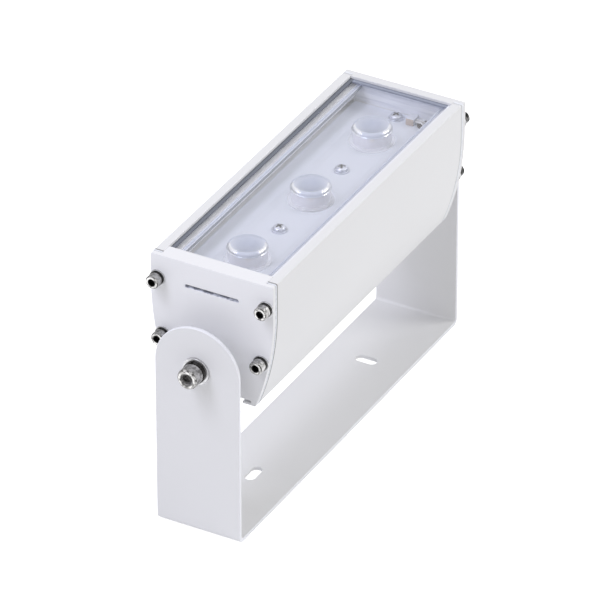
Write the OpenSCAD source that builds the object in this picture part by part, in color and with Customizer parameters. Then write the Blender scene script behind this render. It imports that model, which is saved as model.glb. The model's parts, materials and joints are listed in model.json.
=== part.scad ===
// Outdoor wall washer light: a sealed linear lamp that tilts between the two arms of a U bracket.
// X runs along the lamp, Y across it and Z up. The origin is the centre of the underside of the
// bracket's base. The near end of the lamp is at -X and the far end at +X.

/* [Lens row] */
// Number of lenses along the lamp
lens_count = 3; // [2:1:6]
// Distance between neighbouring lenses
lens_pitch = 75; // [66:1:90]
// Length of the lamp beyond the last lens's share of the row, at each end
end_allow = 4.5; // [3:0.5:12]

/* [Housing] */
// Width of the housing
housing_w = 80; // [77:1:96]
// Height of the housing, from its rims to its feet
housing_h = 84; // [81:1:100]
// Height of the straight part of each side, below the rims
side_straight_h = 20; // [16:1:24]
// Width across the feet
foot_span = 56; // [54:1:64]
// Wall thickness of the extrusion
wall = 2.5; // [2:0.1:3]
// Radius of the outer top edges
rim_r = 1; // [0.4:0.1:1.4]
// Thickness of the web that carries the board
web_t = 4; // [3.5:0.1:6]

/* [Feet of the housing] */
// Height of the feet below the floor of the housing
foot_h = 3.2; // [3:0.1:5]
// Thickness of the inward lip of each foot
foot_lip_t = 1.5; // [1:0.1:1.8]
// Reach of the lip inward from the outer corner
foot_lip_w = 8.5; // [7:0.1:12]
// Depth of the slot above the lip
foot_slot_depth = 5.5; // [3:0.1:6]

/* [Window] */
// Width of each rim, from the outside of the housing
rim_w = 6; // [5:0.1:8]
// Thickness of each rim
rim_t = 2; // [1.5:0.1:3]
// Thickness of the seal between the rims and the glass
seal_t = 1; // [0.6:0.1:1.6]
// Width of the seal that shows inside the rims
seal_show = 2.3; // [1:0.1:3]
// Thickness of the cover glass
glass_t = 4; // [3:0.1:5]
// Width of the glass seat that shows inside the seal
seat_show = 5; // [3:0.1:7]
// Thickness of the glass seat
seat_t = 2.5; // [1.8:0.1:3]
// Width of the two fine grooves along the glass seat
seat_groove_w = 0.6; // [0.4:0.1:0.9]
// Depth of the fine grooves
seat_groove_d = 0.5; // [0.3:0.1:0.8]

/* [End caps] */
// Thickness of each end cap
cap_t = 3; // [2:0.1:5]
// Width of the near cap's top flange, from the outside of the cap
near_flange_w = 11; // [8:0.1:16]
// Width of the far cap's top flange, from the outside of the cap
far_flange_w = 6; // [5.5:0.1:10]
// Length of the slot through each cap
cap_slot_l = 35; // [20:1:44]
// Height of the slot through each cap
cap_slot_h = 2; // [1.2:0.1:3]
// Depth of the slot's centre line below the rims
cap_slot_drop = 15.8; // [13:0.1:18]
// Thickness of the sealing plate behind each cap
plate_t = 1.2; // [0.8:0.1:2]
// Thickness of the gasket behind each sealing plate
gasket_t = 1; // [0.6:0.1:2]
// Width of the gasket's band inside the wall
gasket_band = 2; // [1:0.1:3]

/* [Cap screws] */
// Thread diameter of the cap screws
cap_screw_d = 5; // [4:0.5:5]
// Head diameter of the cap screws
cap_head_d = 8.5; // [7:0.1:9]
// Head height of the cap screws
cap_head_h = 5; // [4:0.1:5.5]
// Width across the flats of the hex socket
cap_socket_af = 4; // [2.5:0.1:4.5]
// Thread length inside the housing
cap_screw_grip = 10; // [6:0.5:16]
// Outer diameter of the flat washers
cap_washer_d = 10; // [9.2:0.1:10.4]
// Thickness of the flat washers
cap_washer_t = 1; // [0.6:0.1:1.6]
// Outer diameter of the spring washers
cap_spring_d = 9; // [8.4:0.1:9.4]
// Thickness of the spring washers
cap_spring_t = 1.3; // [0.8:0.1:1.8]
// Depth of the upper screws below the rims
upper_screw_drop = 15.3; // [14:0.1:18]
// Depth of the lower screws below the rims
lower_screw_drop = 52.6; // [40:0.1:58]
// Distance of each screw from the outside of the housing
screw_edge = 4.8; // [4.6:0.1:6]
// Radius of the screw ports inside the housing
port_r = 3.6; // [3.3:0.1:3.9]

/* [Bracket] */
// Height of the tilt axis above the underside of the base
pivot_h = 111.5; // [100:0.5:160]
// Depth of the tilt axis below the rims
pivot_drop = 57.5; // [48:0.5:62]
// Width of the bracket
bracket_w = 55; // [48:1:70]
// Thickness of the bracket's sheet
bracket_t = 2.5; // [2:0.1:4]
// Outer bend radius of the bracket
bend_r = 4.5; // [4.2:0.1:8]
// Distance between the centres of the two base slots
slot_spacing = 139; // [100:1:180]
// Length of each base slot
slot_l = 14; // [10:0.5:20]
// Width of each base slot
slot_w = 6.5; // [5.5:0.1:9]

/* [Tilt pivots] */
// Thread diameter of the pivot bolts
bolt_d = 8; // [7:0.5:8.5]
// Head diameter of the pivot bolts
bolt_head_d = 13; // [12.5:0.1:14]
// Head height of the pivot bolts
bolt_head_h = 8; // [6:0.1:9]
// Width across the flats of the bolts' hex socket
bolt_socket_af = 6; // [5:0.1:7]
// Outer diameter of the pivot's flat washers
bolt_washer_d = 17; // [15.5:0.1:20]
// Thickness of the pivot's flat washers
bolt_washer_t = 1.6; // [1:0.1:2.5]
// Outer diameter of the pivot's spring washers
bolt_spring_d = 14; // [13:0.1:14.8]
// Thickness of the pivot's spring washers
bolt_spring_t = 2; // [1.4:0.1:2.4]
// Length of the spacer between each cap and its arm
spacer_l = 14.4; // [11.5:0.1:24]
// Outer diameter of the spacers
spacer_d = 18; // [14:0.5:20]
// Thickness of the wall of the pivot bushes
bush_wall = 1; // [0.6:0.1:1.5]
// Outer diameter of the flange of the bushes
bush_flange_d = 20; // [16:0.5:24]
// Thickness of the flange of the bushes
bush_flange_t = 1; // [0.6:0.1:2]
// Width across the flats of the pivot nuts
nut_af = 13; // [12:0.1:14]
// Thickness of the pivot nuts
nut_t = 6.5; // [5:0.1:8]

/* [Lenses] */
// Diameter of each lens at its top
lens_d = 22.5; // [19:0.1:24]
// Diameter of each lens at the board
lens_base_d = 14; // [12:0.1:16]
// Height of each lens
lens_h = 11.5; // [10:0.1:13]
// Height of the rim around the top of each lens
lens_rim_h = 1.2; // [0.8:0.1:2]
// Overhang of that rim
lens_rim_w = 0.7; // [0.3:0.1:1]
// Depth of the dish in the top of each lens
lens_dish_d = 3; // [1:0.1:4]
// Width of the flat land around the dish
lens_land_w = 1.5; // [1:0.1:3]
// Diameter of the cavity over the chip
lens_cavity_d = 7; // [6.4:0.1:8]
// Height of the cavity over the chip
lens_cavity_h = 4; // [3:0.1:5]
// Gap between each lens and the glass
lens_gap = 0.5; // [0.3:0.1:1.5]
// Outer diameter of the lens holders
holder_d = 28; // [24:0.5:30]
// Height of the lens holders
holder_h = 2.5; // [1.6:0.1:4]
// Height of the holders' outer step
holder_step_h = 1.2; // [0.8:0.1:1.5]

/* [Board] */
// Thickness of the board
board_t = 1.6; // [1:0.1:2]
// Thickness of the thermal pad under the board
pad_t = 0.5; // [0.3:0.1:1]
// Clearance between the board and what stands around it
board_gap = 0.5; // [0.3:0.1:1]
// Side of each light-emitting chip
chip_w = 3.5; // [3:0.1:4]
// Thickness of each chip's base
chip_t = 0.7; // [0.4:0.1:1]
// Diameter of each chip's dome
chip_dome_d = 2.6; // [2:0.1:2.8]
// Thread diameter of the board screws
board_screw_d = 4; // [3:0.5:4]
// Head diameter of the board screws
board_head_d = 7.5; // [6:0.1:8]
// Head height of the board screws
board_head_h = 2.4; // [1.6:0.1:3]
// Thread length of the board screws in the web
board_screw_grip = 3; // [2:0.1:3.4]
// Outer diameter of the board washers
board_washer_d = 9.5; // [8:0.1:10]
// Thickness of the board washers
board_washer_t = 0.8; // [0.5:0.1:1.2]
// Distance of the end screws from the ends of the board
board_screw_edge = 6; // [5:0.1:8]

/* [Board connector] */
// Length of the connector along the lamp
plug_l = 8; // [7:0.1:10]
// Width of the connector across the lamp
plug_w = 5; // [4:0.1:6]
// Height of the connector
plug_h = 4; // [3:0.1:5]
// Distance of the connector's centre from the row of lenses
plug_offset = 10.7; // [9:0.1:11.5]
// Distance of the lead hole's centre from the row of lenses
grommet_offset = 19; // [18:0.1:22]
// Outer diameter of the lead grommet
grommet_d = 7; // [6:0.1:8]
// Diameter of the grommet's hole
grommet_bore_d = 4.8; // [4.4:0.1:5.4]
// Diameter of the grommet's flange
grommet_flange_d = 9; // [8:0.1:9.4]
// Thickness of the grommet's flange
grommet_flange_t = 1; // [0.6:0.1:1.5]

/* [Driver] */
// Length of the driver's case
driver_l = 110; // [80:1:112]
// Width of the driver's case
driver_w = 44; // [36:1:46]
// Height of the driver's case
driver_h = 26; // [20:1:30]
// Wall thickness of the driver's case
driver_wall = 1.6; // [1:0.1:2.5]
// Place of the driver's centre along the lamp
driver_x = -20; // [-24:1:-16]
// Length of the fixing ear at each end of the driver
ear_l = 12; // [10:0.5:14]
// Thickness of the ears
ear_t = 2.5; // [1.5:0.1:4]
// Distance between the two screws in each ear
ear_screw_spacing = 26; // [20:1:30]
// Thread diameter of the driver and earth screws
inner_screw_d = 4; // [3:0.5:4]
// Head diameter of the driver and earth screws
inner_head_d = 7; // [6:0.1:8]
// Head height of the driver and earth screws
inner_head_h = 2.6; // [2:0.1:3]
// Thread length of the driver and earth screws in the web
inner_screw_grip = 3; // [2:0.1:3.2]

/* [Terminals] */
// Length of the terminal block along the lamp
block_l = 20; // [16:0.5:24]
// Width of the terminal block
block_w = 30; // [27:0.5:34]
// Height of the terminal block
block_h = 15; // [12:0.5:18]
// Gap between the driver's far ear and the terminal block
block_gap = 9; // [6:0.5:14]
// Diameter of the terminals' clamp screws
clamp_d = 3.6; // [3:0.1:4]
// Depth of the clamp screws' wells
clamp_well = 2; // [1:0.1:3]
// Length of the clamp screws
clamp_l = 6; // [4:0.1:8]
// Diameter of the lead holes through the block
block_bore_d = 2.6; // [2.2:0.1:3]
// Thread diameter of the block's fixing screws
block_screw_d = 3; // [2.5:0.1:3.5]
// Outer diameter of the insulated leads
lead_d = 1.4; // [1:0.1:1.8]
// Distance from the terminal block to the earth screw
earth_gap = 14; // [11:0.5:20]
// Diameter of the earth tag
tag_d = 8; // [7.4:0.1:9]
// Thickness of the earth tag
tag_t = 0.8; // [0.5:0.1:1.2]
// Length of the earth tag's tail
tag_tail_l = 9; // [7:0.1:10]
// Width of the earth tag's tail
tag_tail_w = 3; // [2.4:0.1:4]

/* [Cable gland] */
// Diameter of the gland's thread
gland_d = 12; // [11:0.5:13]
// Width across the flats of the gland's hexagons
gland_af = 15; // [14:0.5:17]
// Height of the gland body's hexagon
gland_hex_h = 4.5; // [3:0.5:6]
// Height of the gland's clamping neck
gland_neck_h = 8; // [7:0.5:10]
// Diameter of the gland's clamping neck
gland_neck_d = 11; // [10.5:0.1:11.4]
// Height of the dome beyond the neck
gland_dome_h = 4; // [3:0.1:6]
// Diameter of the dome's opening
gland_mouth_d = 7.5; // [7:0.1:8]
// Outer diameter of the gland's seal insert
insert_d = 9; // [8.6:0.1:9.2]
// Diameter of the cable bore
cable_d = 6.5; // [6:0.1:7]
// Thickness of the gland's face seal
face_seal_t = 1; // [0.6:0.1:1.5]
// Thickness of the gland's lock nut
lock_nut_t = 3.5; // [2.5:0.1:5]
// Thread that stands inside the lock nut
gland_tail = 1.5; // [1:0.1:3]
// Share of the lamp's half length at which the gland sits
gland_x_share = 0.5; // [0.45:0.01:0.6]

/* [Clearances] */
// Radial clearance around a turning shaft
run_gap = 0.05; // [0.02:0.01:0.1]
// Clearance between a fixed piece and its seat
fit_gap = 0.1; // [0.05:0.01:0.2]
// Radial clearance of a screw in a clearance hole
screw_gap = 0.25; // [0.15:0.05:0.35]
// Clearance at the ends of the glass and of each lead
end_gap = 0.3; // [0.2:0.05:0.5]

/* [Hidden] */

$fn = 96;
// Facets of the long arcs of the sides
side_fn = 256;
// A hexagon
hex_fn = 6;
// Overrun of every cut
overrun = wall / 2;
// The two ends of the lamp
NEAR = -1;
FAR = 1;
ENDS = [NEAR, FAR];
SIDES = [-1, 1];

// Colours
white_paint = [0.93, 0.93, 0.94];
steel = [0.66, 0.66, 0.65];
dark_rubber = [0.16, 0.16, 0.17];
bare_alloy = [0.74, 0.75, 0.77];
clear_glass = [0.8, 0.88, 0.92, 0.35];
clear_plastic = [0.85, 0.9, 0.95, 0.5];
board_white = [0.9, 0.92, 0.93];
black_plastic = [0.1, 0.1, 0.11];
brass = [0.75, 0.6, 0.3];

// Lengths along the lamp, each counted from the middle
lamp_l = lens_count * lens_pitch + 2 * end_allow;
cap_x = lamp_l / 2;
plate_x = cap_x - cap_t;
gasket_x = plate_x - plate_t;
body_x = gasket_x - gasket_t;
arm_x = cap_x + spacer_l + run_gap + bush_flange_t;
arm_out_x = arm_x + bracket_t;
washer_x = arm_out_x + run_gap;
head_x = washer_x + bolt_washer_t + bolt_spring_t;
seal_open_x = cap_x - far_flange_w - seal_show;

// Heights
top_z = pivot_h + pivot_drop;
foot_z = top_z - housing_h;
floor_z = foot_z + foot_h;
floor_top_z = floor_z + wall;
rim_z = top_z - rim_t;
glass_top_z = rim_z - seal_t;
glass_z = glass_top_z - glass_t;
seat_z = glass_z - seat_t;
board_top_z = glass_z - lens_gap - lens_h;
board_z = board_top_z - board_t;
web_z = board_z - pad_t;
web_low_z = web_z - web_t;
upper_screw_z = top_z - upper_screw_drop;
lower_screw_z = top_z - lower_screw_drop;

// The curved lower sides: arcs that start upright and end at the feet
arc_z = top_z - side_straight_h;
arc_drop = arc_z - foot_z;
arc_inset = (housing_w - foot_span) / 2;
side_r = (arc_drop * arc_drop + arc_inset * arc_inset) / (2 * arc_inset);

// Half of the housing's width at a height
function half_w(z) =
    z >= arc_z
        ? housing_w / 2
        : housing_w / 2 - side_r + sqrt(side_r * side_r - (arc_z - z) * (arc_z - z));

inner_half_w = housing_w / 2 - wall;
window_half_w = housing_w / 2 - rim_w;
seal_half_w = window_half_w - seal_show;
seat_half_w = seal_half_w - seat_show;
upper_screw_y = half_w(upper_screw_z) - screw_edge;
lower_screw_y = half_w(lower_screw_z) - screw_edge;
board_half_w = upper_screw_y - port_r - board_gap;
board_x = body_x - board_gap;

// Places of the four screws of a cap
cap_screw_places = [
    for (side = SIDES) each [
        [side * upper_screw_y, upper_screw_z],
        [side * lower_screw_y, lower_screw_z]
    ]
];

// Places along the board
lens_places = [for (i = [0 : lens_count - 1]) (i - (lens_count - 1) / 2) * lens_pitch];
board_end_screw_x = board_x - board_screw_edge;
board_screw_places = concat(
    [-board_end_screw_x, board_end_screw_x],
    [for (i = [1 : lens_count - 1]) (i - lens_count / 2) * lens_pitch]
);

// Driver, terminals and earth, all hung under the web
driver_end_x = driver_x + driver_l / 2;
ear_screw_x = (driver_l + ear_l) / 2;
block_x = driver_end_x + ear_l + block_gap + block_l / 2;
block_z = web_low_z - block_h;
pole_pitch = block_w / 3;
pole_z = web_low_z - block_h / 2;
earth_x = block_x + block_l / 2 + earth_gap;
gland_x = gland_x_share * cap_x;
// Half of the distance between the two leads in the grommet and at the connector
lead_pair_gap = 0.75 * lead_d;

// Gland heights, downward from the floor
gland_hex_z = floor_z - face_seal_t - gland_hex_h;
gland_neck_z = gland_hex_z - gland_neck_h;
gland_mouth_z = gland_neck_z - gland_dome_h;
gland_insert_z = gland_neck_z;

// Base slots
slot_x = slot_spacing / 2;

// Extrudes a Y-Z outline along X from one plane to another
module along_x(from, to) {
    translate([from, 0, 0]) rotate([90, 0, 90]) linear_extrude(to - from) children();
}

// Extrudes a Y-Z outline between two distances from the middle, at one end of the lamp
module at_end(end, inner, outer) {
    if (end == NEAR) along_x(-outer, -inner) children();
    else along_x(inner, outer) children();
}

// Turns a piece built along +Z so that it points out of one end of the lamp
module facing(end, x, y, z) {
    translate([end * x, y, z]) rotate([0, end * 90, 0]) children();
}

// A centred rectangle between two heights
module band(half, low, high) {
    translate([-half, low]) square([2 * half, high - low]);
}

// A slot with round ends, centred, with its length along X
module slot_outline(length, width) {
    square([length - width, width], center = true);
    for (s = SIDES) translate([s * (length - width) / 2, 0]) circle(d = width);
}

// A rectangle whose two lower corners are round
module trough_outline(width, height, r) {
    translate([-width / 2, r]) square([width, height - r]);
    translate([r - width / 2, 0]) square([width - 2 * r, height]);
    for (s = SIDES) translate([s * (width / 2 - r), r]) circle(r = r);
}

// A washer that stands on z = 0
module ring(outer_d, bore_d, t) {
    difference() {
        cylinder(d = outer_d, h = t);
        translate([0, 0, -overrun]) cylinder(d = bore_d, h = t + 2 * overrun);
    }
}

// A hexagonal prism with a round bore that stands on z = 0
module hex_ring(af, bore_d, t) {
    difference() {
        cylinder(d = af / cos(30), h = t, $fn = hex_fn);
        translate([0, 0, -overrun]) cylinder(d = bore_d, h = t + 2 * overrun);
    }
}

// A split spring washer that stands on z = 0
module split_ring(outer_d, bore_d, t) {
    split = t / 2;
    difference() {
        ring(outer_d, bore_d, t);
        translate([0, -split / 2, -t]) rotate([-20, 0, 0]) cube([outer_d, split, 3 * t]);
    }
}

// A socket-head screw: its head stands on z = 0 and its thread reaches down
module socket_screw(d, head_d, head_h, socket_af, grip) {
    chamfer = head_h / 10;
    difference() {
        rotate_extrude()
            polygon([
                [0, -grip], [d / 2, -grip], [d / 2, 0], [head_d / 2, 0],
                [head_d / 2, head_h - chamfer], [head_d / 2 - chamfer, head_h], [0, head_h]
            ]);
        translate([0, 0, head_h / 2])
            cylinder(d = socket_af / cos(30), h = head_h, $fn = hex_fn);
    }
}

// A pan-head screw: its head stands on z = 0, with a cross recess, and its thread reaches down
module pan_screw(d, head_d, head_h, grip) {
    crown = head_h / 3;
    difference() {
        rotate_extrude()
            polygon([
                [0, -grip], [d / 2, -grip], [d / 2, 0], [head_d / 2, 0],
                [head_d / 2, head_h - crown], [head_d / 2 - crown, head_h], [0, head_h]
            ]);
        for (turn = [0, 90])
            rotate([0, 0, turn])
                translate([-head_d / 4, -head_d / 16, head_h / 2])
                    cube([head_d / 2, head_d / 8, head_h]);
    }
}

// Outline of the housing and of its caps: straight sides, curved lower sides and feet
module body_outline() {
    difference() {
        union() {
            band(housing_w / 2, arc_z, top_z);
            intersection() {
                band(housing_w / 2, foot_z, arc_z);
                for_both_arcs(0);
            }
        }
        for (s = SIDES) top_edge_cut(s);
        band(foot_span / 2 - foot_lip_w, foot_z - overrun, floor_z);
        for (s = SIDES) foot_slot(s);
    }
}

// The space between the two side arcs, moved inward by an inset
module for_both_arcs(inset) {
    intersection() {
        translate([side_r - housing_w / 2, arc_z]) circle(r = side_r - inset, $fn = side_fn);
        translate([housing_w / 2 - side_r, arc_z]) circle(r = side_r - inset, $fn = side_fn);
    }
}

// What the radius takes off one outer top edge
module top_edge_cut(side) {
    difference() {
        translate([side * housing_w / 2, top_z]) square(2 * rim_r, center = true);
        translate([side * (housing_w / 2 - rim_r), top_z - rim_r]) circle(r = rim_r);
    }
}

// The slot above the lip of one foot, with a round closed end
module foot_slot(side) {
    h = foot_h - foot_lip_t;
    inner = foot_span / 2 - foot_lip_w;
    round_y = inner + foot_slot_depth - h / 2;
    translate([side * round_y, floor_z - h / 2]) circle(d = h);
    translate([side * (inner - overrun + round_y) / 2, floor_z - h / 2])
        square([round_y - inner + overrun, h], center = true);
}

// Outline of the hollow that holds the driver
module driver_hollow() {
    intersection() {
        band(inner_half_w, floor_top_z, web_low_z);
        for_both_arcs(wall);
    }
}

// Outline of the hollow that holds the board, below the glass seats
module board_hollow() {
    band(inner_half_w, web_z, seat_z);
}

// The holes of the four cap screws, as circles
module screw_circles(r) {
    for (p = cap_screw_places) translate(p) circle(r = r);
}

// Outline of one sealing plate: the cap's, without room for the cap's flange
module plate_outline() {
    difference() {
        body_outline();
        band(window_half_w, rim_z - fit_gap, top_z + overrun);
        screw_circles(cap_screw_d / 2 + screw_gap);
    }
}

// Sheet-metal bracket: base, two bent arms with round tops, pivot holes and base slots
module u_bracket() {
    color(white_paint)
        difference() {
            intersection() {
                translate([0, bracket_w / 2, 0])
                    rotate([90, 0, 0])
                        linear_extrude(bracket_w)
                            difference() {
                                trough_outline(2 * arm_out_x, pivot_h + bracket_w, bend_r);
                                translate([0, bracket_t])
                                    trough_outline(2 * arm_x, pivot_h + bracket_w, bend_r - bracket_t);
                            }
                union() {
                    along_x(-arm_out_x - overrun, arm_out_x + overrun)
                        band(bracket_w / 2, -overrun, pivot_h);
                    along_x(-arm_out_x - overrun, arm_out_x + overrun)
                        translate([0, pivot_h]) circle(d = bracket_w);
                }
            }
            along_x(-arm_out_x - overrun, arm_out_x + overrun)
                translate([0, pivot_h]) circle(r = bolt_d / 2 + run_gap + bush_wall + run_gap);
            translate([-slot_x, 0, -overrun])
                linear_extrude(bracket_t + 2 * overrun) slot_outline(slot_l, slot_w);
            translate([slot_x, 0, -overrun])
                linear_extrude(bracket_t + 2 * overrun) rotate(90) slot_outline(slot_l, slot_w);
        }
}

// Flanged bushes that line the arms' pivot holes, with their flanges inside the arms
module pivot_bushes() {
    bore = bolt_d + 2 * run_gap;
    color(dark_rubber)
        for (end = ENDS)
            facing(end, arm_x - bush_flange_t, 0, pivot_h)
                difference() {
                    union() {
                        cylinder(d = bush_flange_d, h = bush_flange_t);
                        cylinder(d = bore + 2 * bush_wall, h = bush_flange_t + bracket_t);
                    }
                    translate([0, 0, -overrun])
                        cylinder(d = bore, h = bush_flange_t + bracket_t + 2 * overrun);
                }
}

// Extruded housing: walls, rims, glass seats, web, floor, feet and screw ports
module housing() {
    color(white_paint)
        difference() {
            along_x(-body_x, body_x)
                difference() {
                    union() {
                        difference() {
                            body_outline();
                            board_hollow();
                            driver_hollow();
                        }
                        screw_circles(port_r);
                    }
                    band(inner_half_w, glass_z, rim_z);
                    band(window_half_w, rim_z - overrun / 2, top_z + overrun);
                    band(seat_half_w, seat_z - overrun / 2, glass_z + overrun / 2);
                    for (s = SIDES, row = [1, 2])
                        translate([s * (seat_half_w + row * seat_show / 3), glass_z])
                            square([seat_groove_w, 2 * seat_groove_d], center = true);
                    screw_circles(cap_screw_d / 2 + run_gap);
                }
            for (x = board_screw_places)
                translate([x, 0, web_low_z - overrun])
                    cylinder(d = board_screw_d + 2 * run_gap, h = web_t + 2 * overrun);
            translate([board_end_screw_x, -grommet_offset, web_low_z - overrun])
                cylinder(d = grommet_d + 2 * run_gap, h = web_t + 2 * overrun);
            web_tappings();
            translate([gland_x, 0, floor_z - overrun])
                cylinder(d = gland_d + 2 * run_gap, h = wall + 2 * overrun);
        }
}

// Blind tapped holes in the underside of the web
module web_tappings() {
    depth = inner_screw_grip + fit_gap;
    for (sx = ENDS, sy = SIDES)
        translate([driver_x + sx * ear_screw_x, sy * ear_screw_spacing / 2, web_low_z - overrun])
            cylinder(d = inner_screw_d + 2 * run_gap, h = depth + overrun);
    translate([earth_x, pole_pitch, web_low_z - overrun])
        cylinder(d = inner_screw_d + 2 * run_gap, h = depth + overrun);
    for (sy = SIDES)
        translate([block_x, sy * pole_pitch / 2, web_low_z - overrun])
            cylinder(d = block_screw_d + 2 * run_gap, h = depth + overrun);
}

// One end cap: plate with slot and holes, and a flange that closes the window between the rims
module end_cap(end, flange_w) {
    at_end(end, plate_x, cap_x)
        difference() {
            body_outline();
            translate([0, top_z - cap_slot_drop]) slot_outline(cap_slot_l, cap_slot_h);
            screw_circles(cap_screw_d / 2 + screw_gap);
            translate([0, pivot_h]) circle(d = bolt_d + 2 * screw_gap);
        }
    at_end(end, cap_x - flange_w, plate_x + cap_t / 2)
        band(window_half_w - fit_gap, rim_z, top_z);
}

module near_end_cap() {
    color(white_paint) end_cap(NEAR, near_flange_w);
}

module far_end_cap() {
    color(white_paint) end_cap(FAR, far_flange_w);
}

// One sealing plate, clamped between a cap and its gasket
module seal_plate(end) {
    at_end(end, gasket_x, plate_x)
        difference() {
            plate_outline();
            translate([0, pivot_h]) circle(d = bolt_d + 2 * screw_gap);
        }
}

module near_seal_plate() {
    color(bare_alloy) seal_plate(NEAR);
}

module far_seal_plate() {
    color(bare_alloy) seal_plate(FAR);
}

// One rubber gasket between a sealing plate and the end of the extrusion
module cap_gasket(end) {
    at_end(end, body_x, gasket_x)
        difference() {
            plate_outline();
            difference() {
                union() {
                    band(inner_half_w - gasket_band, web_z + gasket_band, rim_z - 2 * gasket_band);
                    intersection() {
                        band(inner_half_w - gasket_band, floor_top_z + gasket_band, web_low_z - gasket_band);
                        for_both_arcs(wall + gasket_band);
                    }
                }
                screw_circles(port_r);
            }
        }
}

module near_cap_gasket() {
    color(dark_rubber) cap_gasket(NEAR);
}

module far_cap_gasket() {
    color(dark_rubber) cap_gasket(FAR);
}

// Flat cover glass, on its two seats
module cover_glass() {
    half = inner_half_w - end_gap;
    color(clear_glass)
        along_x(end_gap - body_x, body_x - end_gap) band(half, glass_z, glass_top_z);
}

// Frame seal between the glass and the rims
module glass_seal() {
    half = inner_half_w - end_gap;
    color(dark_rubber)
        difference() {
            along_x(end_gap - body_x, body_x - end_gap) band(half, glass_top_z, rim_z);
            along_x(-seal_open_x, seal_open_x)
                band(seal_half_w, glass_top_z - overrun, rim_z + overrun);
        }
}

// The four socket screws of one cap
module cap_screws(end) {
    seat = cap_x + cap_washer_t + cap_spring_t;
    for (p = cap_screw_places)
        facing(end, seat, p[0], p[1])
            socket_screw(cap_screw_d, cap_head_d, cap_head_h, cap_socket_af,
                seat - body_x + cap_screw_grip);
}

// The four spring washers of one cap
module cap_spring_washers(end) {
    for (p = cap_screw_places)
        facing(end, cap_x + cap_washer_t, p[0], p[1])
            split_ring(cap_spring_d, cap_screw_d + 2 * fit_gap, cap_spring_t);
}

// The four flat washers of one cap
module cap_washers(end) {
    for (p = cap_screw_places)
        facing(end, cap_x, p[0], p[1])
            ring(cap_washer_d, cap_screw_d + 2 * fit_gap, cap_washer_t);
}

module near_cap_screws() {
    color(steel) cap_screws(NEAR);
}

module near_cap_spring_washers() {
    color(steel) cap_spring_washers(NEAR);
}

module near_cap_washers() {
    color(steel) cap_washers(NEAR);
}

module far_cap_screws() {
    color(steel) cap_screws(FAR);
}

module far_cap_spring_washers() {
    color(steel) cap_spring_washers(FAR);
}

module far_cap_washers() {
    color(steel) cap_washers(FAR);
}

// One pivot bolt, from outside the arm to beyond the nut
module pivot_bolt(end) {
    facing(end, head_x, 0, pivot_h)
        socket_screw(bolt_d, bolt_head_d, bolt_head_h, bolt_socket_af,
            head_x - gasket_x + nut_t + rim_r);
}

module near_pivot_bolt() {
    color(steel) pivot_bolt(NEAR);
}

module far_pivot_bolt() {
    color(steel) pivot_bolt(FAR);
}

// Spring washers under the heads of the pivot bolts
module pivot_spring_washers() {
    color(steel)
        for (end = ENDS)
            facing(end, washer_x + bolt_washer_t, 0, pivot_h)
                split_ring(bolt_spring_d, bolt_d + 2 * fit_gap, bolt_spring_t);
}

// Flat washers against the outside of the arms
module pivot_washers() {
    color(steel)
        for (end = ENDS)
            facing(end, washer_x, 0, pivot_h)
                ring(bolt_washer_d, bolt_d + 2 * fit_gap, bolt_washer_t);
}

// Spacers between the caps and the bushes
module pivot_spacers() {
    color(bare_alloy)
        for (end = ENDS)
            facing(end, cap_x, 0, pivot_h) ring(spacer_d, bolt_d + 2 * fit_gap, spacer_l);
}

// Nuts behind the sealing plates
module pivot_nuts() {
    color(steel)
        for (end = ENDS)
            facing(end, gasket_x - nut_t, 0, pivot_h) hex_ring(nut_af, bolt_d + 2 * run_gap, nut_t);
}

// Board on its pad, with the screw holes and the lead hole
module board_slab(low, t) {
    difference() {
        along_x(-board_x, board_x) band(board_half_w, low, low + t);
        for (x = board_screw_places)
            translate([x, 0, low - overrun])
                cylinder(d = board_screw_d + 2 * screw_gap, h = t + 2 * overrun);
        translate([board_end_screw_x, -grommet_offset, low - overrun])
            cylinder(d = grommet_d + 2 * run_gap, h = t + 2 * overrun);
    }
}

module led_board() {
    color(board_white) board_slab(board_z, board_t);
}

module thermal_pad() {
    color("lightgrey") board_slab(web_z, pad_t);
}

// Light-emitting chips, each a square base with a dome
module led_chips() {
    color("khaki")
        for (x = lens_places)
            translate([x, 0, board_top_z]) {
                translate([-chip_w / 2, -chip_w / 2, 0]) cube([chip_w, chip_w, chip_t]);
                rotate_extrude()
                    intersection() {
                        translate([0, chip_t]) circle(d = chip_dome_d);
                        square([chip_w / 2, chip_t + chip_dome_d]);
                    }
            }
}

// Radius of the lens cone at a height above the board
function cone_r(h) =
    lens_base_d / 2
    + (lens_d / 2 - lens_rim_w - lens_base_d / 2) * h / (lens_h - lens_rim_h);

// Conical lenses with a rim, a dish in the top and a cavity over the chip
module lenses() {
    dish_r = lens_d / 2 - lens_land_w;
    color(clear_plastic)
        for (x = lens_places)
            translate([x, 0, board_top_z])
                rotate_extrude()
                    polygon([
                        [lens_cavity_d / 2, 0], [lens_base_d / 2, 0],
                        [cone_r(lens_h - lens_rim_h), lens_h - lens_rim_h],
                        [lens_d / 2, lens_h - lens_rim_h], [lens_d / 2, lens_h],
                        [dish_r, lens_h], [dish_r / 2, lens_h - lens_dish_d],
                        [0, lens_h - lens_dish_d],
                        [0, lens_cavity_h], [lens_cavity_d / 2, lens_cavity_h - chip_t]
                    ]);
}

// Rings that seat the lenses on the board
module lens_holders() {
    color(clear_plastic)
        for (x = lens_places)
            translate([x, 0, board_top_z])
                rotate_extrude()
                    polygon([
                        [cone_r(0) + fit_gap, 0], [holder_d / 2, 0],
                        [holder_d / 2, holder_step_h],
                        [cone_r(holder_h) + lens_rim_h, holder_h],
                        [cone_r(holder_h) + fit_gap, holder_h]
                    ]);
}

module board_screws() {
    color(steel)
        for (x = board_screw_places)
            translate([x, 0, board_top_z + board_washer_t])
                pan_screw(board_screw_d, board_head_d, board_head_h,
                    board_washer_t + board_t + pad_t + board_screw_grip);
}

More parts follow.
